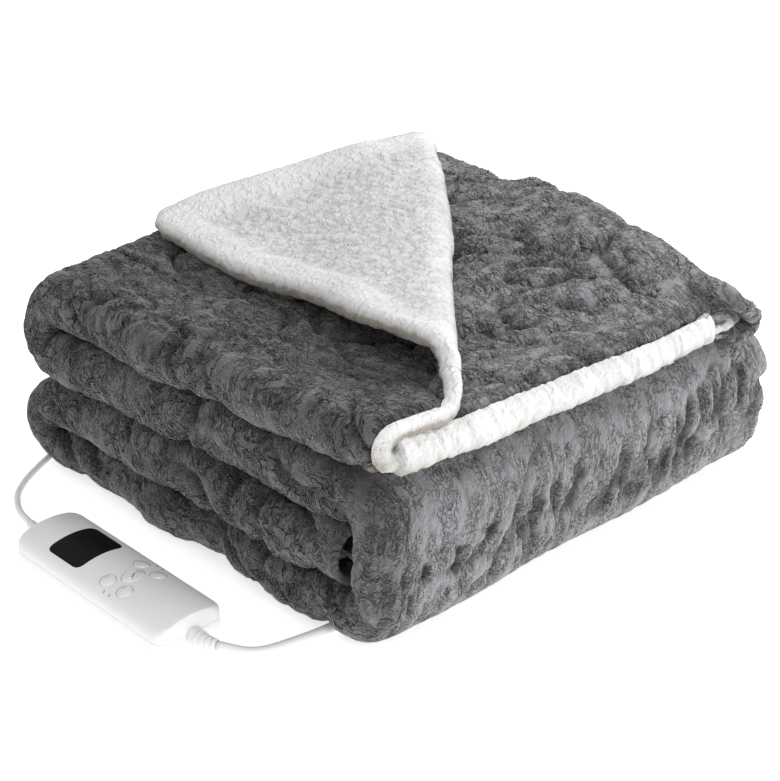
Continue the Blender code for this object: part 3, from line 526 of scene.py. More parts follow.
def cornerBlend(values, x, y):
    # blends four corner values over the stack's plan
    right, back = np.clip(x / throw["width"], 0.0, 1.0), np.clip(y / throw["depth"], 0.0, 1.0)
    front = values[0] * (1.0 - right) + values[1] * right
    return front * (1.0 - back) + (values[2] * (1.0 - right) + values[3] * right) * back


def settleStack(x, y, z):
    # each group of layers grows by its corner factors, then sine waves sway it; the cord lifts it
    over = z - floorSheet
    lower = np.minimum(over, lowerGroup) * cornerBlend(settleLower, x, y)
    upper = np.maximum(over - lowerGroup, 0.0) * cornerBlend(settleUpper, x, y)
    place, moved = (x, y, z), [x, y, floorSheet + lower + upper]
    for axis, along, amplitude, wave, phase, fades in sways:
        strength = np.clip(over / lowerGroup, 0.0, 1.0) if fades else 1.0
        moved[axis] = moved[axis] + strength * amplitude * np.sin(2 * math.pi * place[along] / wave + phase)
    strengths = {"top": np.clip((over - lowerGroup) / topFade + 0.5, 0.0, 1.0),
                 "flap": np.clip((over - lowerGroup - 2 * sheetPitch) / flapFade, 0.0, 1.0),
                 "bottom": np.clip(1.0 - over / bottomFade, 0.0, 1.0)}
    for group, middleX, middleY, spreadX, spreadY, *shift in nudges:
        bump = np.exp(-((x - middleX) / spreadX) ** 2 - ((y - middleY) / spreadY) ** 2)
        moved = [value + step * bump * strengths[group] for value, step in zip(moved, shift)]
    aside = np.clip((y - throw["tunnelPlace"]) / throw["tunnelHalf"], -1.0, 1.0)
    low = np.clip(1.0 - over / lowerGroup, 0.0, 1.0)
    moved[2] = moved[2] + throw["tunnelRise"] * np.cos(aside * math.pi / 2) ** 2 * low
    return moved


def foldedPlace(u, v):
    # the middle of the sheet, u across its width and v along its length, with the stack's middle at 0
    section, _ = walkFolds(widthFolds, (leftCentre, 0.0), u)
    track, up = walkFolds(lengthFolds, (throw["hemInset"], topLayer), v)
    x, height = section[..., 0], section[..., 1]
    y, z = track[..., 0] + height * up[..., 0], track[..., 1] + height * up[..., 1]
    upper, onTop = u > leftEnds[1], v < backEnds[0]
    bentX, bentY, bentZ = bendCorner(x, y, z, v)
    x = np.where(upper, np.where(onTop, bentX, slipLeft(x, y, v)), x)
    y, z = np.where(upper & onTop, bentY, y), np.where(upper & onTop, bentZ, z)
    x, y, z = settleStack(x, y, z)
    return np.stack((x - throw["width"] / 2, y - throw["depth"] / 2, z), axis=-1)


def sheetFrame(u, v):
    # the sheet's place, its unit directions across and along, and its normal on the plush side
    step = 0.0002
    across = foldedPlace(u + step, v) - foldedPlace(u - step, v)
    along = foldedPlace(u, v + step) - foldedPlace(u, v - step)
    across /= np.linalg.norm(across, axis=-1, keepdims=True)
    along /= np.linalg.norm(along, axis=-1, keepdims=True)
    normal = np.cross(across, along)
    normal /= np.linalg.norm(normal, axis=-1, keepdims=True)
    return foldedPlace(u, v), across, along, normal


def clothSurface(u, v, side, offset, radius, inset, hem):
    # The outer side of a cloth.  It stands off the sheet's middle by offset.  In a band along the front
    # and side hems it turns round the edge: an arc of hem radius, seen along the hem.  The band's
    # corner squares become quarter circles.  Returns places and the ways out of the cloth.
    reach, sweep = hem["reach"], hem["sweep"]
    front = np.clip(1.0 - v / reach, 0.0, 1.0)
    beside = np.clip(1.0 - (flatWidth - u) / reach, 0.0, 1.0)
    into = np.maximum(front, beside)
    size = np.maximum(np.hypot(front, beside), 1e-9)
    flatPart = 1.0 - hem["share"]
    straight = np.minimum(into / flatPart, 1.0) * (reach - inset)
    uu = np.minimum(u, flatWidth - reach) + beside / size * straight
    vv = np.maximum(v, reach) - front / size * straight
    place, across, along, normal = sheetFrame(uu, vv)
    outward = (beside / size)[..., None] * across - (front / size)[..., None] * along
    turn = math.pi / 2 - math.radians(sweep) * np.clip((into - flatPart) / hem["share"], 0.0, 1.0)
    way = np.cos(turn)[..., None] * outward + (np.sin(turn) * side)[..., None] * normal
    centre = place + (side * (offset - radius))[..., None] * normal
    return centre + radius[..., None] * way, way


hemCrowd = 1.8              # power of the distance from a hem, along which the grid's lines crowd


def lengthStops(steps):
    # distances along the cloth where the grid's lines fall
    shares = [np.arange(1, count + 1) / count for count in steps]
    shares[0] = shares[0] ** hemCrowd
    return np.concatenate([[0.0]] + [lengthEnds[fold[0]][0] + foldSpan(fold) * share
                                     for fold, share in zip(lengthFolds, shares)])


def widthStops(steps):
    # distances across the cloth where they fall
    shares = [np.arange(1, count + 1) / count for count in steps]
    shares[-1] = 1.0 - (1.0 - shares[-1]) ** hemCrowd
    return np.concatenate([[0.0]] + [widthEnds[fold[0]][0] + foldSpan(fold) * share
                                     for fold, share in zip(widthFolds, shares)])


def joinLines(stopsA, idsA, stopsB, idsB):
    # faces between two lines of points; where one line is finer its points go into longer faces
    if len(stopsA) == len(stopsB):
        return np.stack((idsA[:-1], idsA[1:], idsB[1:], idsB[:-1]), axis=-1).tolist()
    keysA, keysB = np.round(stopsA * 1e7).astype(int), np.round(stopsB * 1e7).astype(int)
    _, inA, inB = np.intersect1d(keysA, keysB, return_indices=True)
    return [list(idsA[a:a2 + 1]) + list(idsB[b:b2 + 1][::-1])
            for a, a2, b, b2 in zip(inA, inA[1:], inB, inB[1:])]


def writeLooks(data, looks, flat):
    # a tone, with painted light and shade in it, and the strength of the fine creases at each point, and
    # its place on the flat cloth as UV
    for name, values in zip(("shade", "crinkle"), looks.T):
        data.attributes.new(name, "FLOAT", "POINT").data.foreach_set("value", values.astype(np.float32))
    corners = np.zeros(len(data.loops), np.int32)
    data.loops.foreach_get("vertex_index", corners)
    data.uv_layers.new(name="flat cloth").uv.foreach_set("vector", flat[corners].astype(np.float32).ravel())


def clothShell(name, table, back, side, surface, material):
    # A closed shell: fine rows on the outer side, each with its own lines across, a coarse grid on
    # the side that faces the other cloth, and a strip round the rim.
    counts = [row[1] for row in table]
    stopsV = lengthStops(counts)
    zone = np.concatenate(([0], np.repeat(np.arange(len(table)), counts)))
    rows = [widthStops(table[number][2]) for number in zone]
    sizes = [len(row) for row in rows]
    u, v, begun = np.concatenate(rows), np.repeat(stopsV, sizes), sum(sizes)
    ids = np.split(np.arange(begun), np.cumsum(sizes)[:-1])
    places, _, shade = surface(u, v)
    faces = []
    for number in range(len(rows) - 1):
        faces += joinLines(rows[number], ids[number], rows[number + 1], ids[number + 1])
    backV, backU = lengthStops(back["along"]), widthStops(back["across"])
    gridV, gridU = np.meshgrid(backV, backU, indexing="ij")
    rimU = np.clip(gridU, 0.0, flatWidth - back["inset"])
    rimV = np.clip(gridV, back["inset"], flatLength - back["tail"])
    place, _, _, normal = sheetFrame(rimU.ravel(), rimV.ravel())
    backIds = begun + np.arange(gridU.size).reshape(gridU.shape)
    for number in range(len(backV) - 1):
        faces += [face[::-1] for face in joinLines(backU, backIds[number], backU, backIds[number + 1])]
    firsts, lasts = np.array([line[0] for line in ids]), np.array([line[-1] for line in ids])
    faces += [face[::-1] for face in joinLines(rows[0], ids[0], backU, backIds[0])]
    faces += joinLines(rows[-1], ids[-1], backU, backIds[-1])
    faces += joinLines(stopsV, firsts, backV, backIds[:, 0])
    faces += [face[::-1] for face in joinLines(stopsV, lasts, backV, backIds[:, -1])]
    if side < 0:
        faces = [face[::-1] for face in faces]
    places = np.vstack((places, place + side * throw["gap"] / 2 * normal))
    piece = newPiece(name, places, faces, material)
    flat = np.stack((np.append(u, gridU), np.append(v, gridV)), axis=-1)
    writeLooks(piece.data, np.vstack((shade, np.full((gridU.size, 2), 0.5))), flat)
    return piece


plushRows = (
    # fold along the length, steps, steps across each of the six width folds
    ("front hem",    16,  (128, 12, 64, 20, 128, 6)),
    ("top layer",    112, (128, 12, 16, 20, 128, 6)),
    ("back turn",    36,  (16, 12, 16, 20, 128, 6)),
    ("second layer", 88,  (16, 12, 16, 20, 16, 2)),
    ("front upper",  26,  (16, 12, 208, 20, 16, 2)),
    ("front drop",   8,   (16, 12, 208, 20, 16, 2)),
    ("front lower",  26,  (16, 12, 208, 20, 16, 2)),
    ("bottom layer", 88,  (16, 12, 16, 20, 16, 2)),
    ("rear turn",    24,  (16, 12, 64, 20, 16, 2)),
    ("inner layer",  88,  (16, 12, 16, 20, 16, 2)),
)
plushBack = {"across": (8, 6, 8, 10, 8, 2), "along": (4, 8, 9, 8, 13, 4, 13, 8, 8, 8),
             "inset": 0.002, "tail": 0.0}


def smoothStep(value, low, high):
    # 0 below low, 1 above high, an S between them
    share = np.clip((value - low) / (high - low), 0.0, 1.0)
    return share * share * (3.0 - 2.0 * share)


def between(value, low, high, soft):
    # 1 inside a range, with soft ends
    return smoothStep(value, low - soft, low + soft) * (1.0 - smoothStep(value, high - soft, high + soft))


def roundTurn(u, ends, reach):
    # 1 round a turn of the cloth's width, from a run before it to a run past it
    before, past, soft = reach
    return between(u, ends[0] - before, ends[1] + past, soft)


def sheetShares(u):
    # how far a place belongs to the middle, lower and upper sheet
    right, left = smoothStep(u, *rightEnds), smoothStep(u, *leftEnds)
    return 1.0 - right, right * (1.0 - left), left


plushReliefs = (
    # where      long    short   degrees  height  crease  seed
    ("turns",    0.052,  0.0220, 74.0,    0.0084, 0.20,   6),
    ("turns",    0.026,  0.0105, 112.0,   0.0040, 0.20,   16),
    ("ridges",   0.048,  0.0220, -43.0,   0.0090, 0.20,   9),
    ("ridges",   0.026,  0.0120, -12.0,   0.0044, 0.22,   19),
    ("upper",    0.070,  0.0200, 84.0,    0.0076, 0.13,   10),
    ("upper",    0.028,  0.0100, 62.0,    0.0032, 0.20,   20),
    ("puckers",  0.017,  0.0100, 90.0,    0.0030, 0.20,   21),
    ("front",    0.042,  0.0160, 8.0,     0.0036, 0.18,   22),
    ("front",    0.016,  0.0082, 90.0,    0.0022, 0.22,   23),
    ("all",      0.014,  0.0060, 50.0,    0.0018, 0.20,   4),
    ("all",      0.0085, 0.0042, 110.0,   0.0009, 0.22,   5),
)
plushTroughs = {
    # short, deep creases in the rows of puckers, with painted shade in them
    "across": 0.0062, "along": 0.0135,
    "full": (0.16, 0.50),           # of their noise, where they begin and are deepest
    "bent": 0.3,                    # how far they follow the creases' bends
    # their depth, and the painted shade in them
    "deep": 0.0046, "dark": 1.5,
}
plushLook = {
    "warp": (0.055, 0.014),         # size and reach of the noise that bends the creases
    "patch": (0.045, -0.6, 0.5),    # size of the noise where creases are deeper, from and to
    "shallow": 0.45,                # their depth outside such patches
    "lift": 0.45,                   # of a pillow over the cloth, as a share of its crease's depth
    "fullDark": 0.0040,             # depth of a crease whose painted shade is as dark as its share says
    "sharper": 0.55,                # width of a crease's line of painted shade to the crease's own
    "tone": 0.77,
    "dark": (0.36, 1.8),            # painted shade of a crease, and the most that they add up to
    # painted light and shade by side, as the light falls: darker on the upper sheet and round the left
    # turn, lighter on the top's right part and on the front
    "paintedSideLight": {"upper": -0.42, "ridges": 0.17, "front": 0.13},
    "leftPaintedShade": -0.31,
    "calm": {"front": 0.86, "ridges": 0.45},        # how much weaker the fine creases are there
    "rows": 0.10,                   # how much stronger they are in the rows of puckers on the front
}
plushPlaces = {
    "top": 0.010,                   # before the back turn, where the top's relief begins to fade
    "front": 0.012,                 # softness of the front's ends
    "turn": (0.012, 0.012, 0.014),  # before and past the left turn, where its relief ends, and how softly
    # before and past the left turn, where its painted shade ends, and how softly
    "leftShadeReach": (0.010, 0.010, 0.015),
    "foot": (0.80, 1.6, 0.08),      # down the front, where it lies flat, and how softly that starts
    "flat": 0.85,
    "rows": (0.26, 0.60, 0.05),     # down the front, where the rows of puckers are
    "drift": 0.20,                  # how much lower they are at the left
    "gaps": (0.050, -0.8, -0.1),    # size of the noise that breaks them, and where they fade and are full
    "shared": 0.6,                  # how much the front takes off the other kinds of relief
}


def turned(x, y, degrees):
    # distances in two directions turned by an angle
    angle = math.radians(degrees)
    return x * math.cos(angle) + y * math.sin(angle), y * math.cos(angle) - x * math.sin(angle)


def plushZones(u, v):
    # where each kind of relief lies, 0 to 1
    look = plushPlaces
    upper = sheetShares(u)[2]
    onTop = 1.0 - smoothStep(v, backEnds[0] - look["top"], backEnds[1])
    front = between(v, *frontEnds, look["front"])
    turns = roundTurn(u, leftEnds, look["turn"]) * (1.0 - look["shared"] * front)
    onTop, front = onTop * (1.0 - turns), front * (1.0 - turns)
    down = (v - frontEnds[0]) / (frontEnds[1] - frontEnds[0])
    flattened = look["flat"] * between(down, *look["foot"])
    leftward = (u - rightEnds[1]) / (leftEnds[0] - rightEnds[1])
    size, gone, full = look["gaps"]
    rows = between(down - look["drift"] * leftward, *look["rows"])
    rows = rows * smoothStep(softNoise(u, v, size, 24), gone, full)
    return {"turns": turns, "ridges": onTop * (1.0 - upper), "upper": onTop * upper,
            "front": front * (1.0 - flattened), "puckers": front * rows,
            "all": (1.0 - look["shared"] * front) * (1.0 - flattened)}


def plushHeight(u, v):
    # Each relief is a field of pillows: 1 - exp(-|noise| / crease), highest inside a cell of the noise
    # and pinched to a sharp crease where the noise passes 0.
    zones, look, dips = plushZones(u, v), plushLook, plushTroughs
    size, reach = look["warp"]
    warp, bend = reach * softNoise(u, v, size, 7), reach * softNoise(u, v, size, 8)
    size, gone, full = look["patch"]
    patch = smoothStep(softNoise(u, v, size, 11), gone, full)
    patch = look["shallow"] + (1.0 - look["shallow"]) * patch
    height, creases = np.zeros_like(u), np.zeros_like(u)
    for where, long, short, degrees, rise, crease, seed in plushReliefs:
        along, across = turned(u + warp, v + bend, degrees)
        noise = np.abs(softNoise(along / long, across / short, 1.0, seed))
        weight = zones[where] * patch
        height = height + weight * rise * (look["lift"] - np.exp(-noise / crease))
        # painted shade along the crease, more for higher reliefs
        dark = weight * math.sqrt(rise / look["fullDark"])
        creases = creases + dark * np.exp(-noise / crease / look["sharper"])
    across, along = (u + dips["bent"] * warp) / dips["across"], (v + dips["bent"] * bend) / dips["along"]
    trough = smoothStep(softNoise(across, along, 1.0, 25), *dips["full"]) * zones["puckers"]
    # the troughs sink the cloth and add painted shade
    height, creases = height - dips["deep"] * trough, creases + dips["dark"] * trough
    # painted light and shade by side of the stack
    paintedSideLight = sum(zones[where] * tone for where, tone in look["paintedSideLight"].items())
    paintedSideLight = paintedSideLight + look["leftPaintedShade"] * roundTurn(u, leftEnds, plushPlaces["leftShadeReach"])
    calm = sum(zones[where] * share for where, share in look["calm"].items())
    crinkle = 1.0 - calm + look["rows"] * zones["puckers"]
    dark, most = look["dark"]
    # the tone: base, plus painted light and shade by side, less the painted shade of the creases
    return height, np.stack((look["tone"] + paintedSideLight - dark * np.clip(creases, 0.0, most), crinkle), axis=-1)


plushHem = {
    # how far in it lies on each sheet, beside the least; the sheets are the middle, lower and upper one
    "least": 0.0005, "inset": (0.0045, 0.0060, 0.0030),
    "radius": 0.0029, "reach": 0.014, "share": 0.35, "sweep": 150.0,
    "sunk": 0.0006,                 # the cloth's middle line under the pile's tips
}
plushTurn = {
    # the hem's thick end round the right turn: how far before and past the turn it is, and how softly
    # it ends, the run over which it dies out along the strip, its added radius, and how far it stands
    # ahead and swells
    "around": (0.012, 0.012, 0.006), "along": (0.010, 0.070),
    "radius": 0.0012, "ahead": 0.004, "swell": 0.0062,
}
floorGap = 0.0003                   # the cloth stays this high


def plushSurface(u, v):
    # the face's outer side, raised along its own normals by the relief
    height, shade = plushHeight(u, v)
    hem, look = plushHem, plushTurn
    turn = roundTurn(u, rightEnds, look["around"]) * (1.0 - smoothStep(v, *look["along"]))
    inset = hem["least"] + sum(share * inset for share, inset in zip(sheetShares(u), hem["inset"]))
    inset = inset * (1.0 - turn) - look["ahead"] * turn
    offset = throw["gap"] / 2 + throw["face"] - hem["sunk"] + look["swell"] * turn
    places, way = clothSurface(u, v, 1.0, offset, hem["radius"] + look["radius"] * turn, inset, hem)
    places = places + height[:, None] * way
    places[:, 2] = np.maximum(places[:, 2], floorGap)
    return places, way, shade


fleeceRows = (
    ("front hem",    24,  (224, 12, 160, 10, 192, 6)),
    ("top layer",    156, (8, 12, 8, 10, 192, 6)),
    ("back turn",    12,  (8, 12, 8, 10, 24, 2)),
    ("second layer", 16,  (8, 6, 8, 10, 8, 2)),
    ("front upper",  6,   (8, 6, 8, 10, 8, 2)),
    ("front drop",   2,   (8, 6, 8, 10, 8, 2)),
    ("front lower",  6,   (8, 6, 8, 10, 8, 2)),
    ("bottom layer", 16,  (8, 6, 8, 10, 8, 2)),
    ("rear turn",    8,   (8, 6, 8, 10, 8, 2)),
    ("inner layer",  16,  (8, 6, 8, 10, 8, 2)),
)
fleeceBack = {"across": (8, 6, 8, 10, 8, 2), "along": (4, 12, 6, 8, 6, 2, 6, 8, 8, 8),
              "inset": 0.002, "tail": 0.014}
fleeceHems = {
    # radius of the rolled edge and how far its outer side stands off the sheet's middle
    "middle": (0.0125, 0.0205), "turn": (0.0030, 0.0046), "lower": (0.0030, 0.0040),
    "left": (0.0082, 0.0110), "bend": (0.0074, 0.0094), "flap": (0.0082, 0.0112),
    "flapSwell": (0.014, 0.036),    # from the hem, where the roll is full and where it has died out
    "bandSwell": (0.004, 0.016),
    "smooth": (0.014, 0.032),       # from the hem, where the upper sheet's curls are brushed flat and get painted light
    "facing": (-0.2, 0.6),          # and from and to which height of the way out
    "thicker": 0.0030,              # the front band's roll at its left end
    "hollow": 0.019,                # how far the hem draws back inside the right turn
    "flapFrom": (0.045, 0.100),     # past the fold line, where the thick roll grows
    "turnEnds": (0.022, 0.006, 0.007),      # before and past a turn, where its own hem is, and how softly
    "leftEnds": (0.020, 0.004, 0.008),
    "reach": 0.018, "share": 0.5, "sweep": 165.0, "sunk": 0.0004,
}
fleeceLook = {
    "curl": (0.0062, 0.25),         # size of the mesh's curls, and how wide the pinch between them is
    "climb": 0.5,                   # how far they shift with height
    "high": (0.0011, 0.0005),       # how high they are, and how much higher on the upper sheet
    "lift": 0.35,                   # of a curl over the cloth, as a share of that
    "brushed": 0.75,                # how much of the pinch is gone where they are brushed flat
    "waves": (0.030, 0.0012),       # size and height of the slow waves
    "fuzz": (0.0030, 0.0008),       # and of the fuzz along the hems
    "fuzzReach": (0.020, 0.030),
    # base tone; painted light on the front band; painted shade in the pinch between curls; painted light on
    # brushed hems that face up; size and share of random clouds of tone
    "tone": 0.68, "band": 0.07, "pinched": 0.26, "litBrushedHem": 0.10, "clouds": (0.024, 0.08),
    "under": (0.45, 0.40),          # painted shade facing down, and how much more on the upper sheet
    "underFrom": (0.35, 0.27),      # the way's height where that begins, and how much higher there
}


def nearHem(u, v, full, gone):
    # 1 at the front and side hems, 0 further in; a fourth-power mean rounds the corner between them
    front, beside = 1.0 - smoothStep(v, full, gone), 1.0 - smoothStep(flatWidth - u, full, gone)
    return np.minimum((front ** 4 + beside ** 4) ** 0.25, 1.0)


def flapShare(u, v):
    # 0 on the stack, 1 on the flap well past its fold line
    x, y = leftCentre + u - leftEnds[1], v + throw["hemInset"]
    past = (x - throw["flapStart"]) * math.sin(flatLine) - y * math.cos(flatLine)
    return np.where(u > leftEnds[1], smoothStep(past, *fleeceHems["flapFrom"]), 0.0)


def fleeceSurface(u, v):
    # the lining's outer side, its hems rolled, raised by curls that pinch where their noise passes 0
    hems, look = fleeceHems, fleeceLook
    v = np.minimum(v, flatLength - fleeceBack["tail"])
    middle, lower, upper = sheetShares(u)
    turn, left = roundTurn(u, rightEnds, hems["turnEnds"]), roundTurn(u, leftEnds, hems["leftEnds"])
    flap = flapShare(u, v)
    shares = {"middle": middle * (1 - turn), "turn": turn, "left": left,
              "lower": lower * (1 - turn) * (1 - left),
              "bend": upper * (1 - flap) * (1 - left), "flap": upper * flap}
    thicker = hems["thicker"] * shares["middle"] * (1.0 - np.clip(u / rightEnds[0], 0.0, 1.0))
    radius = sum(share * hems[part][0] for part, share in shares.items()) + thicker
    full = sum(share * hems[part][1] for part, share in shares.items()) + thicker
    base = throw["gap"] / 2 + throw["lining"] - hems["sunk"]
    near = flap * nearHem(u, v, *hems["flapSwell"]) + (1 - flap) * nearHem(u, v, *hems["bandSwell"])
    offset = base + (full - base) * near
    places, way = clothSurface(u, v, -1.0, offset, radius, hems["hollow"] * turn, hems)
    size, width = look["curl"]
    climb = look["climb"] * places[:, 2]
    curl = np.abs(softNoise(u + climb, v + climb, size, 13))
    # the brushed hems that face up: their curls are flattened and they get painted light
    litBrushedHem = upper * nearHem(u, v, *hems["smooth"]) * smoothStep(way[:, 2], *hems["facing"])
    pinch = np.exp(-curl / width) * (1.0 - look["brushed"] * litBrushedHem)
    height = (look["high"][0] + look["high"][1] * upper) * (look["lift"] - pinch)
    height = height + look["waves"][1] * softNoise(u, v, look["waves"][0], 14)
    fuzz = look["fuzz"][1] * softNoise(u, v, look["fuzz"][0], 15)
    height = height + fuzz * nearHem(u, v, *look["fuzzReach"]) * (1.0 - upper)
    places = places + height[:, None] * way
    places[:, 2] = np.maximum(places[:, 2], floorGap)
    # painted shade where the cloth faces down
    under = np.clip(look["underFrom"][0] + look["underFrom"][1] * upper - way[:, 2], 0.0, 1.0)
    # painted light on the front band and on brushed hems facing up, painted shade in the curls' pinch and
    # facing down, and random clouds of tone
    tone = look["tone"] + look["band"] * (1.0 - upper) - look["pinched"] * pinch
    tone = tone - (look["under"][0] + look["under"][1] * upper) * under + look["litBrushedHem"] * litBrushedHem
    tone = tone + look["clouds"][1] * softNoise(u, v, look["clouds"][0], 16)
    return places, way, np.stack((tone, np.ones_like(u)), axis=-1)


greyPlush = clothShell("grey_plush", plushRows, plushBack, 1.0, plushSurface, plush)
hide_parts("blanket_face")
whiteFleece = clothShell("white_fleece", fleeceRows, fleeceBack, -1.0, fleeceSurface, fleece)
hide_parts("blanket_lining")
for piece in (greyPlush, whiteFleece):
    triangles = sum(len(face.vertices) - 2 for face in piece.data.polygons)
    print(piece.name, "made,", triangles, "triangles")


plushTufts = {
    "seed": 31,
    "wide": 0.0006,                 # from a tuft's middle to its foot's corners
    "long": (0.0011, 0.0026),
    "sunk": 0.0006,
    "lean": ((0.09, -0.315, -0.72), 0.55),      # down and to the front, and how uneven
    "tip": (0.75, 0.66),            # out of the cloth and over it
    "tone": (-0.10, 0.12),
    "bare": 0.50,                   # no tufts where the painted tone is darker, in the painted shade of its creases
    "lowest": 0.0002,
    "zones": (
        # from and to across, from and to along, tufts, how long to the others
        (0.0, rightEnds[0], 0.0, backEnds[0], 6500, 0.8),           # the top's right part
        (leftEnds[0], flatWidth, 0.0, backEnds[0], 11000, 1.0),     # its left part, and under the flap
        (*leftEnds, backEnds[0], flatLength, 7000, 1.0),            # left side
        (*rightEnds, 0.0, flatLength, 3500, 0.7),                   # right side
        (rightEnds[1], leftEnds[0], frontEnds[0] - 0.010, frontEnds[0] + 0.012, 4000, 1.0),
        (leftEnds[0], flatWidth, *backEnds, 4000, 1.0),             # back
        (rightEnds[1], leftEnds[0], *lengthEnds["rear turn"], 3000, 1.0),
        (0.0, leftEnds[0], 0.0, 0.012, 4000, 1.0),                  # front hem
    ),
}


def makeTufts(name, look, surface, material):
    # Small closed spikes on a cloth: three corners of a triangle round a random place, sunk a little,
    # and a tip that leans over.
    random, zones = np.random.RandomState(look["seed"]), look["zones"]
    u = np.concatenate([random.uniform(zone[0], zone[1], zone[4]) for zone in zones])
    v = np.concatenate([random.uniform(zone[2], zone[3], zone[4]) for zone in zones])
    share = np.concatenate([np.full(zone[4], zone[5]) for zone in zones])
    places, way, shade = surface(u, v)
    kept = shade[:, 0] > look["bare"]
    u, v, places, way, shade, share = (values[kept] for values in (u, v, places, way, shade, share))
    lean = random.normal(0.0, look["lean"][1], places.shape) + np.array(look["lean"][0])
    lean -= (lean * way).sum(axis=1, keepdims=True) * way
    sideways = np.cross(way, lean)
    sideways /= np.linalg.norm(sideways, axis=1, keepdims=True)
    ahead = np.cross(sideways, way)
    long = (random.uniform(*look["long"], len(u)) * share)[:, None]
    low = places - look["sunk"] * way
    corners = [low + look["wide"] * (math.cos(turn) * sideways + math.sin(turn) * ahead)
               for turn in (0.0, 2 * math.pi / 3, 4 * math.pi / 3)]
    lean /= np.maximum(np.linalg.norm(lean, axis=1, keepdims=True), 1.0)
    tip = places + long * (look["tip"][0] * way + look["tip"][1] * lean)
    tip[:, 2] = np.maximum(tip[:, 2], look["lowest"])
    first = 4 * np.arange(len(u))[:, None, None]
    faces = (first + np.array(((0, 1, 2), (1, 0, 3), (2, 1, 3), (0, 2, 3)))).reshape(-1, 3)
    piece = newPiece(name, np.stack((*corners, tip), axis=1).reshape(-1, 3), faces.tolist(), material)
    shade[:, 0] += random.uniform(*look["tone"], len(u))
    flat = np.repeat(np.stack((u, v), axis=-1), 4, axis=0)
    writeLooks(piece.data, np.repeat(shade, 4, axis=0), flat)
    piece.data.normals_split_custom_set_from_vertices(np.repeat(way, 4, axis=0).tolist())
    print(piece.name, "made,", len(u), "tufts")
    return piece


plushPile = makeTufts("plush_tufts", plushTufts, plushSurface, plush)


stackCorner = np.array((-throw["width"] / 2, -throw["depth"] / 2, 0.0))
cordSides = 16
lead = {
    "diameter": 0.005, "step": 0.0030, "lay": "loose",
    "end": "connector", "pieces": ("lead_coupler",),
    "route": (
        # from the stack's front left corner, as in the part's source
        (-0.06044, 0.30471, 0.0085), (-0.0588, 0.3125, 0.0082), (-0.0560, 0.3215, 0.0062),
        (-0.0520, 0.3310, 0.0038), (-0.0460, 0.3425, 0.0027), (-0.0360, 0.3550, 0.0026),
        (-0.0170, 0.3680, 0.0026), (0.0110, 0.3810, 0.0026), (0.0420, 0.3940, 0.0026),
        (0.0780, 0.4020, 0.0026), (0.1180, 0.4045, 0.0026), (0.1600, 0.4045, 0.0026),
        (0.2000, 0.4040, 0.0028), (0.2350, 0.4033, 0.0045), (0.2600, 0.4030, 0.0064),
        (0.2720, 0.4030, 0.0067), (0.2794, 0.4030, 0.0068),
    ),
}
mains = {
    "diameter": 0.007, "step": 0.0040, "lay": "coiled",
    "end": "plug", "pieces": ("plug_relief", "plug_body", "plug_pin_1", "plug_pin_2"),
    "route": (
        (-0.05853, 0.09569, 0.0085), (-0.05592, 0.0908, 0.0082), (-0.05028, 0.08372, 0.0066),
        (-0.0432, 0.0781, 0.0048), (-0.03235, 0.07336, 0.0037), (-0.0150, 0.0690, 0.0036),
        (0.0040, 0.0655, 0.0036), (0.0300, 0.0634, 0.0036), (0.0800, 0.0628, 0.0036),
        (0.1350, 0.0632, 0.0036), (0.1900, 0.0638, 0.0036), (0.2450, 0.0638, 0.0036),
        (0.3000, 0.0638, 0.0036), (0.3550, 0.0646, 0.0036), (0.4000, 0.0655, 0.0036),
        (0.4380, 0.0695, 0.0036), (0.4690, 0.0820, 0.0036), (0.4880, 0.1040, 0.0038),
        (0.4962, 0.1310, 0.0043), (0.4975, 0.1560, 0.0045), (0.4975, 0.1768, 0.0045),
    ),
    "coilCentre": (0.4520, 0.2030),
    "coilRadii": (0.0455, 0.0385, 0.0315, 0.0315, 0.0385, 0.0455),
    "coilHeights": (0.0045, 0.0045, 0.0045, 0.0115, 0.0115, 0.0115),
    "coilStep": 0.05,       # of a turn
    "shift": 0.30,          # of a turn, over which one turn passes into the next
    "plugTip": (0.4905, 0.2385, 0.0110),
}


def coilPath():
    # turns of a circle; radius and height change along a cosine step at the end of each turn
    centre = np.array((*mains["coilCentre"], 0.0))
    turns = len(mains["coilRadii"])
    at = np.arange(0.0, turns + 1e-9, mains["coilStep"])
    whole = np.minimum(np.floor(at + 1e-9).astype(int), turns - 1)
    after = np.minimum(whole + 1, turns - 1)
    late = np.clip((at - whole - 1.0 + mains["shift"]) / mains["shift"], 0.0, 1.0)
    late = (1.0 - np.cos(math.pi * late)) / 2
    radii, heights = np.array(mains["coilRadii"]), np.array(mains["coilHeights"])
    radius = radii[whole] * (1 - late) + radii[after] * late
    height = heights[whole] * (1 - late) + heights[after] * late
    angle = 2 * math.pi * at
    return centre + np.stack((radius * np.cos(angle), radius * np.sin(angle), height), axis=-1)


def mainsPath():
    # the route, the coil, and ten steps along a cosine from the coil's last turn to the plug's relief
    tip, coil = np.array(mains["plugTip"]), coilPath()
    share = (1.0 - np.cos(math.pi * np.linspace(0.1, 1.0, 10)))[:, None] / 2
    ends = coil[-1] + share * (tip - coil[-1])
    ends[:, 1] = np.linspace(coil[-1, 1], tip[1], 11)[1:]
    return np.vstack((np.array(mains["route"]), coil, ends))


def makeCord(name, look, route, *nodes):
    # a round tube along its smoothed route
    points = smoothRoute(route, look["step"]) + stackCorner
    cord = newPiece(name, *tubeAlong(points, look["diameter"] / 2, cordSides), finishes["cord_white"])
    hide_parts(*nodes)


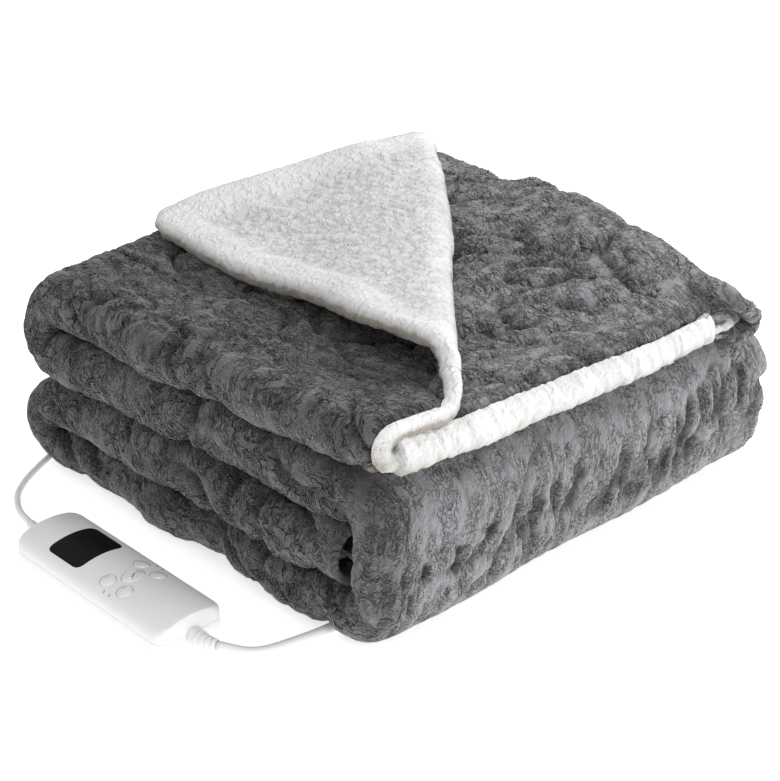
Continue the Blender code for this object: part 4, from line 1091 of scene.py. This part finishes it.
hardParts = (
    # CAD nodes with the bodies they ride on, slot, angle above which an edge stays sharp
    ((("handset_top", "throw"), ("handset_bottom", "throw")), "housing_white", 32.0),
    ((("handset_display", "throw"),), "display_black", 32.0),
    ((("key_centre", "centre_key"), ("key_1", "first_key"), ("key_2", "second_key"),
      ("key_3", "third_key"), ("key_4", "fourth_key")), "key_white", 50.0),
    ((("lead_relief", "throw"), ("mains_relief", "throw"), ("plug_relief", "throw")), "cord_white", 50.0),
    ((("plug_body", "throw"),), "fitting_white", 32.0),
    ((("plug_pin_1", "throw"), ("plug_pin_2", "throw")), "pin_metal", 32.0),
    ((("blanket_socket", "throw"), ("lead_coupler", "throw")), "fitting_white", 32.0),
)


def smoothCopy(node, body, slot, sharp):
    # a node's loose triangles with their like points merged, shaded smooth but for its edges
    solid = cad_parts[node]
    places = np.zeros(len(solid.data.vertices) * 3)
    solid.data.vertices.foreach_get("co", places)
    place = np.array(solid.matrix_world)
    places = places.reshape(-1, 3) @ place[:3, :3].T + place[:3, 3]
    _, first, merged = np.unique(np.round(places, 6), axis=0, return_index=True, return_inverse=True)
    corners = np.zeros(len(solid.data.loops), np.int32)
    solid.data.loops.foreach_get("vertex_index", corners)
    faces = merged.ravel()[corners].reshape(-1, 3)
    faces = faces[(faces != np.roll(faces, 1, axis=1)).all(axis=1)]
    piece = newPiece(node + "_smooth", places[first], faces.tolist(), finishes[slot], body)
    piece.data.set_sharp_from_angle(angle=math.radians(sharp))
    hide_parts(node)
    return piece


for nodes, slot, sharp in hardParts:
    for node, body in nodes:
        smoothCopy(node, body, slot, sharp)
print("hard parts made")

marks = {
    "place": (-0.2600, 0.0040),     # middle of the handset
    "keys": -0.0195,                # middle of the keys, along it
    "edge": 0.0180, "crown": 0.0065, "half": 0.0285,    # the housing's top
    "thick": 0.0002,
    "strokes": (
        # across, along, degrees, long, wide
        (0.0232, -0.0030, 20.0, 0.0022, 0.0007), (0.0232, 0.0030, 20.0, 0.0022, 0.0007),
        (-0.0232, -0.0030, 20.0, 0.0022, 0.0007), (-0.0232, 0.0030, 20.0, 0.0022, 0.0007),
    ),
    "bar": ((0.0, 0.0, 35.0, 0.0058, 0.0009),),
    "proud": 0.0004,                # of the keys
}


def makeStrokes(name, strokes, rise, body):
    # thin boxes whose corners follow the housing's top: edge + crown * (1 - (across / half) squared)
    across, along, degrees, long, wide = np.array(strokes).T[:, :, None]
    ahead, aside = np.array(((-1, -1), (1, -1), (1, 1), (-1, 1)) * 2).T
    up = np.repeat((-marks["thick"], marks["thick"]), 4)
    cosine, sine = np.cos(np.radians(degrees)), np.sin(np.radians(degrees))
    x = across + (ahead * long * cosine - aside * wide * sine) / 2
    y = along + (ahead * long * sine + aside * wide * cosine) / 2
    top = marks["edge"] + marks["crown"] * (1.0 - (x / marks["half"]) ** 2) + rise
    places = np.stack((marks["place"][0] + x, marks["place"][1] + marks["keys"] + y, top + up), axis=-1)
    box = np.array(((3, 2, 1, 0), (4, 5, 6, 7), (0, 1, 5, 4), (1, 2, 6, 5), (2, 3, 7, 6), (3, 0, 4, 7)))
    faces = 8 * np.arange(len(strokes))[:, None, None] + box
    piece = newPiece(name, places.reshape(-1, 3), faces.reshape(-1, 4).tolist(), ink, body, smooth=False)


makeStrokes("handset_marks", marks["strokes"], 0.0, "throw")
makeStrokes("centre_key_bar", marks["bar"], marks["proud"], "centre_key")
makeCord("lead", lead, lead["route"], "lead_cord")
makeCord("mains", mains, mainsPath(), "mains_cord", "mains_coil")


studio = {
    "floor": 6.0,           # side of the floor
    "floorShader": {"Roughness": 0.9, "Base Color": (0.9, 0.9, 0.9, 1.0),
                    "Emission Color": (1.0, 1.0, 1.0, 1.0), "Emission Strength": 0.62},
    "world": 0.72,
    "lamps": (
        # name, place, size, power
        ("key", (1.25, -0.55, 1.35), 0.8, 20.0),
        ("front", (-0.3, -1.9, 0.9), 0.9, 14.0),
    ),
    "aim": (0.0, 0.0, 0.08),
    "camera": (-1.0592, -1.1239, 0.9318),
    "down": 29.33,          # degrees below the horizon
    "heading": 46.78,       # degrees from +X
    "lens": 109.09,
}


def addToStudio(name, data, place, tilt, turn):
    # a lamp or a camera, tilted up from straight down and then turned
    thing = bpy.data.objects.new(name, data)
    thing.location, thing.rotation_euler = place, (tilt, 0.0, turn)
    bpy.context.scene.collection.objects.link(thing)
    return thing


def makeStudio():
    # a pale floor, an even sky, two soft lamps and the camera
    half = studio["floor"] / 2
    corners = ((-half, -half, 0.0), (half, -half, 0.0), (half, half, 0.0), (-half, half, 0.0))
    mat = newMaterial("pale floor", studio["floorShader"])[0]
    newPiece("floor", corners, [[0, 1, 2, 3]], mat, body=None, smooth=False)
    world = bpy.data.worlds.new("studio")
    bpy.context.scene.world = world
    world.use_nodes = True
    sky = world.node_tree.nodes["Background"].inputs
    sky["Color"].default_value, sky["Strength"].default_value = (1.0, 1.0, 1.0, 1.0), studio["world"]
    for name, place, size, power in studio["lamps"]:
        light = bpy.data.lights.new(name, "AREA")
        light.size, light.energy = size, power
        aim = np.array(studio["aim"]) - np.array(place)
        addToStudio(name, light, place, -math.acos(-aim[2] / np.linalg.norm(aim)),
                    math.atan2(aim[1], aim[0]) + math.pi / 2)
    lens = bpy.data.cameras.new("camera")
    lens.lens, lens.sensor_fit = studio["lens"], "HORIZONTAL"
    camera = addToStudio("camera", lens, studio["camera"], math.radians(90.0 - studio["down"]),
                         math.radians(studio["heading"] - 90.0))
    bpy.context.scene.camera = camera
    bpy.context.scene.view_settings.view_transform = "Standard"


makeStudio()
print("all made")
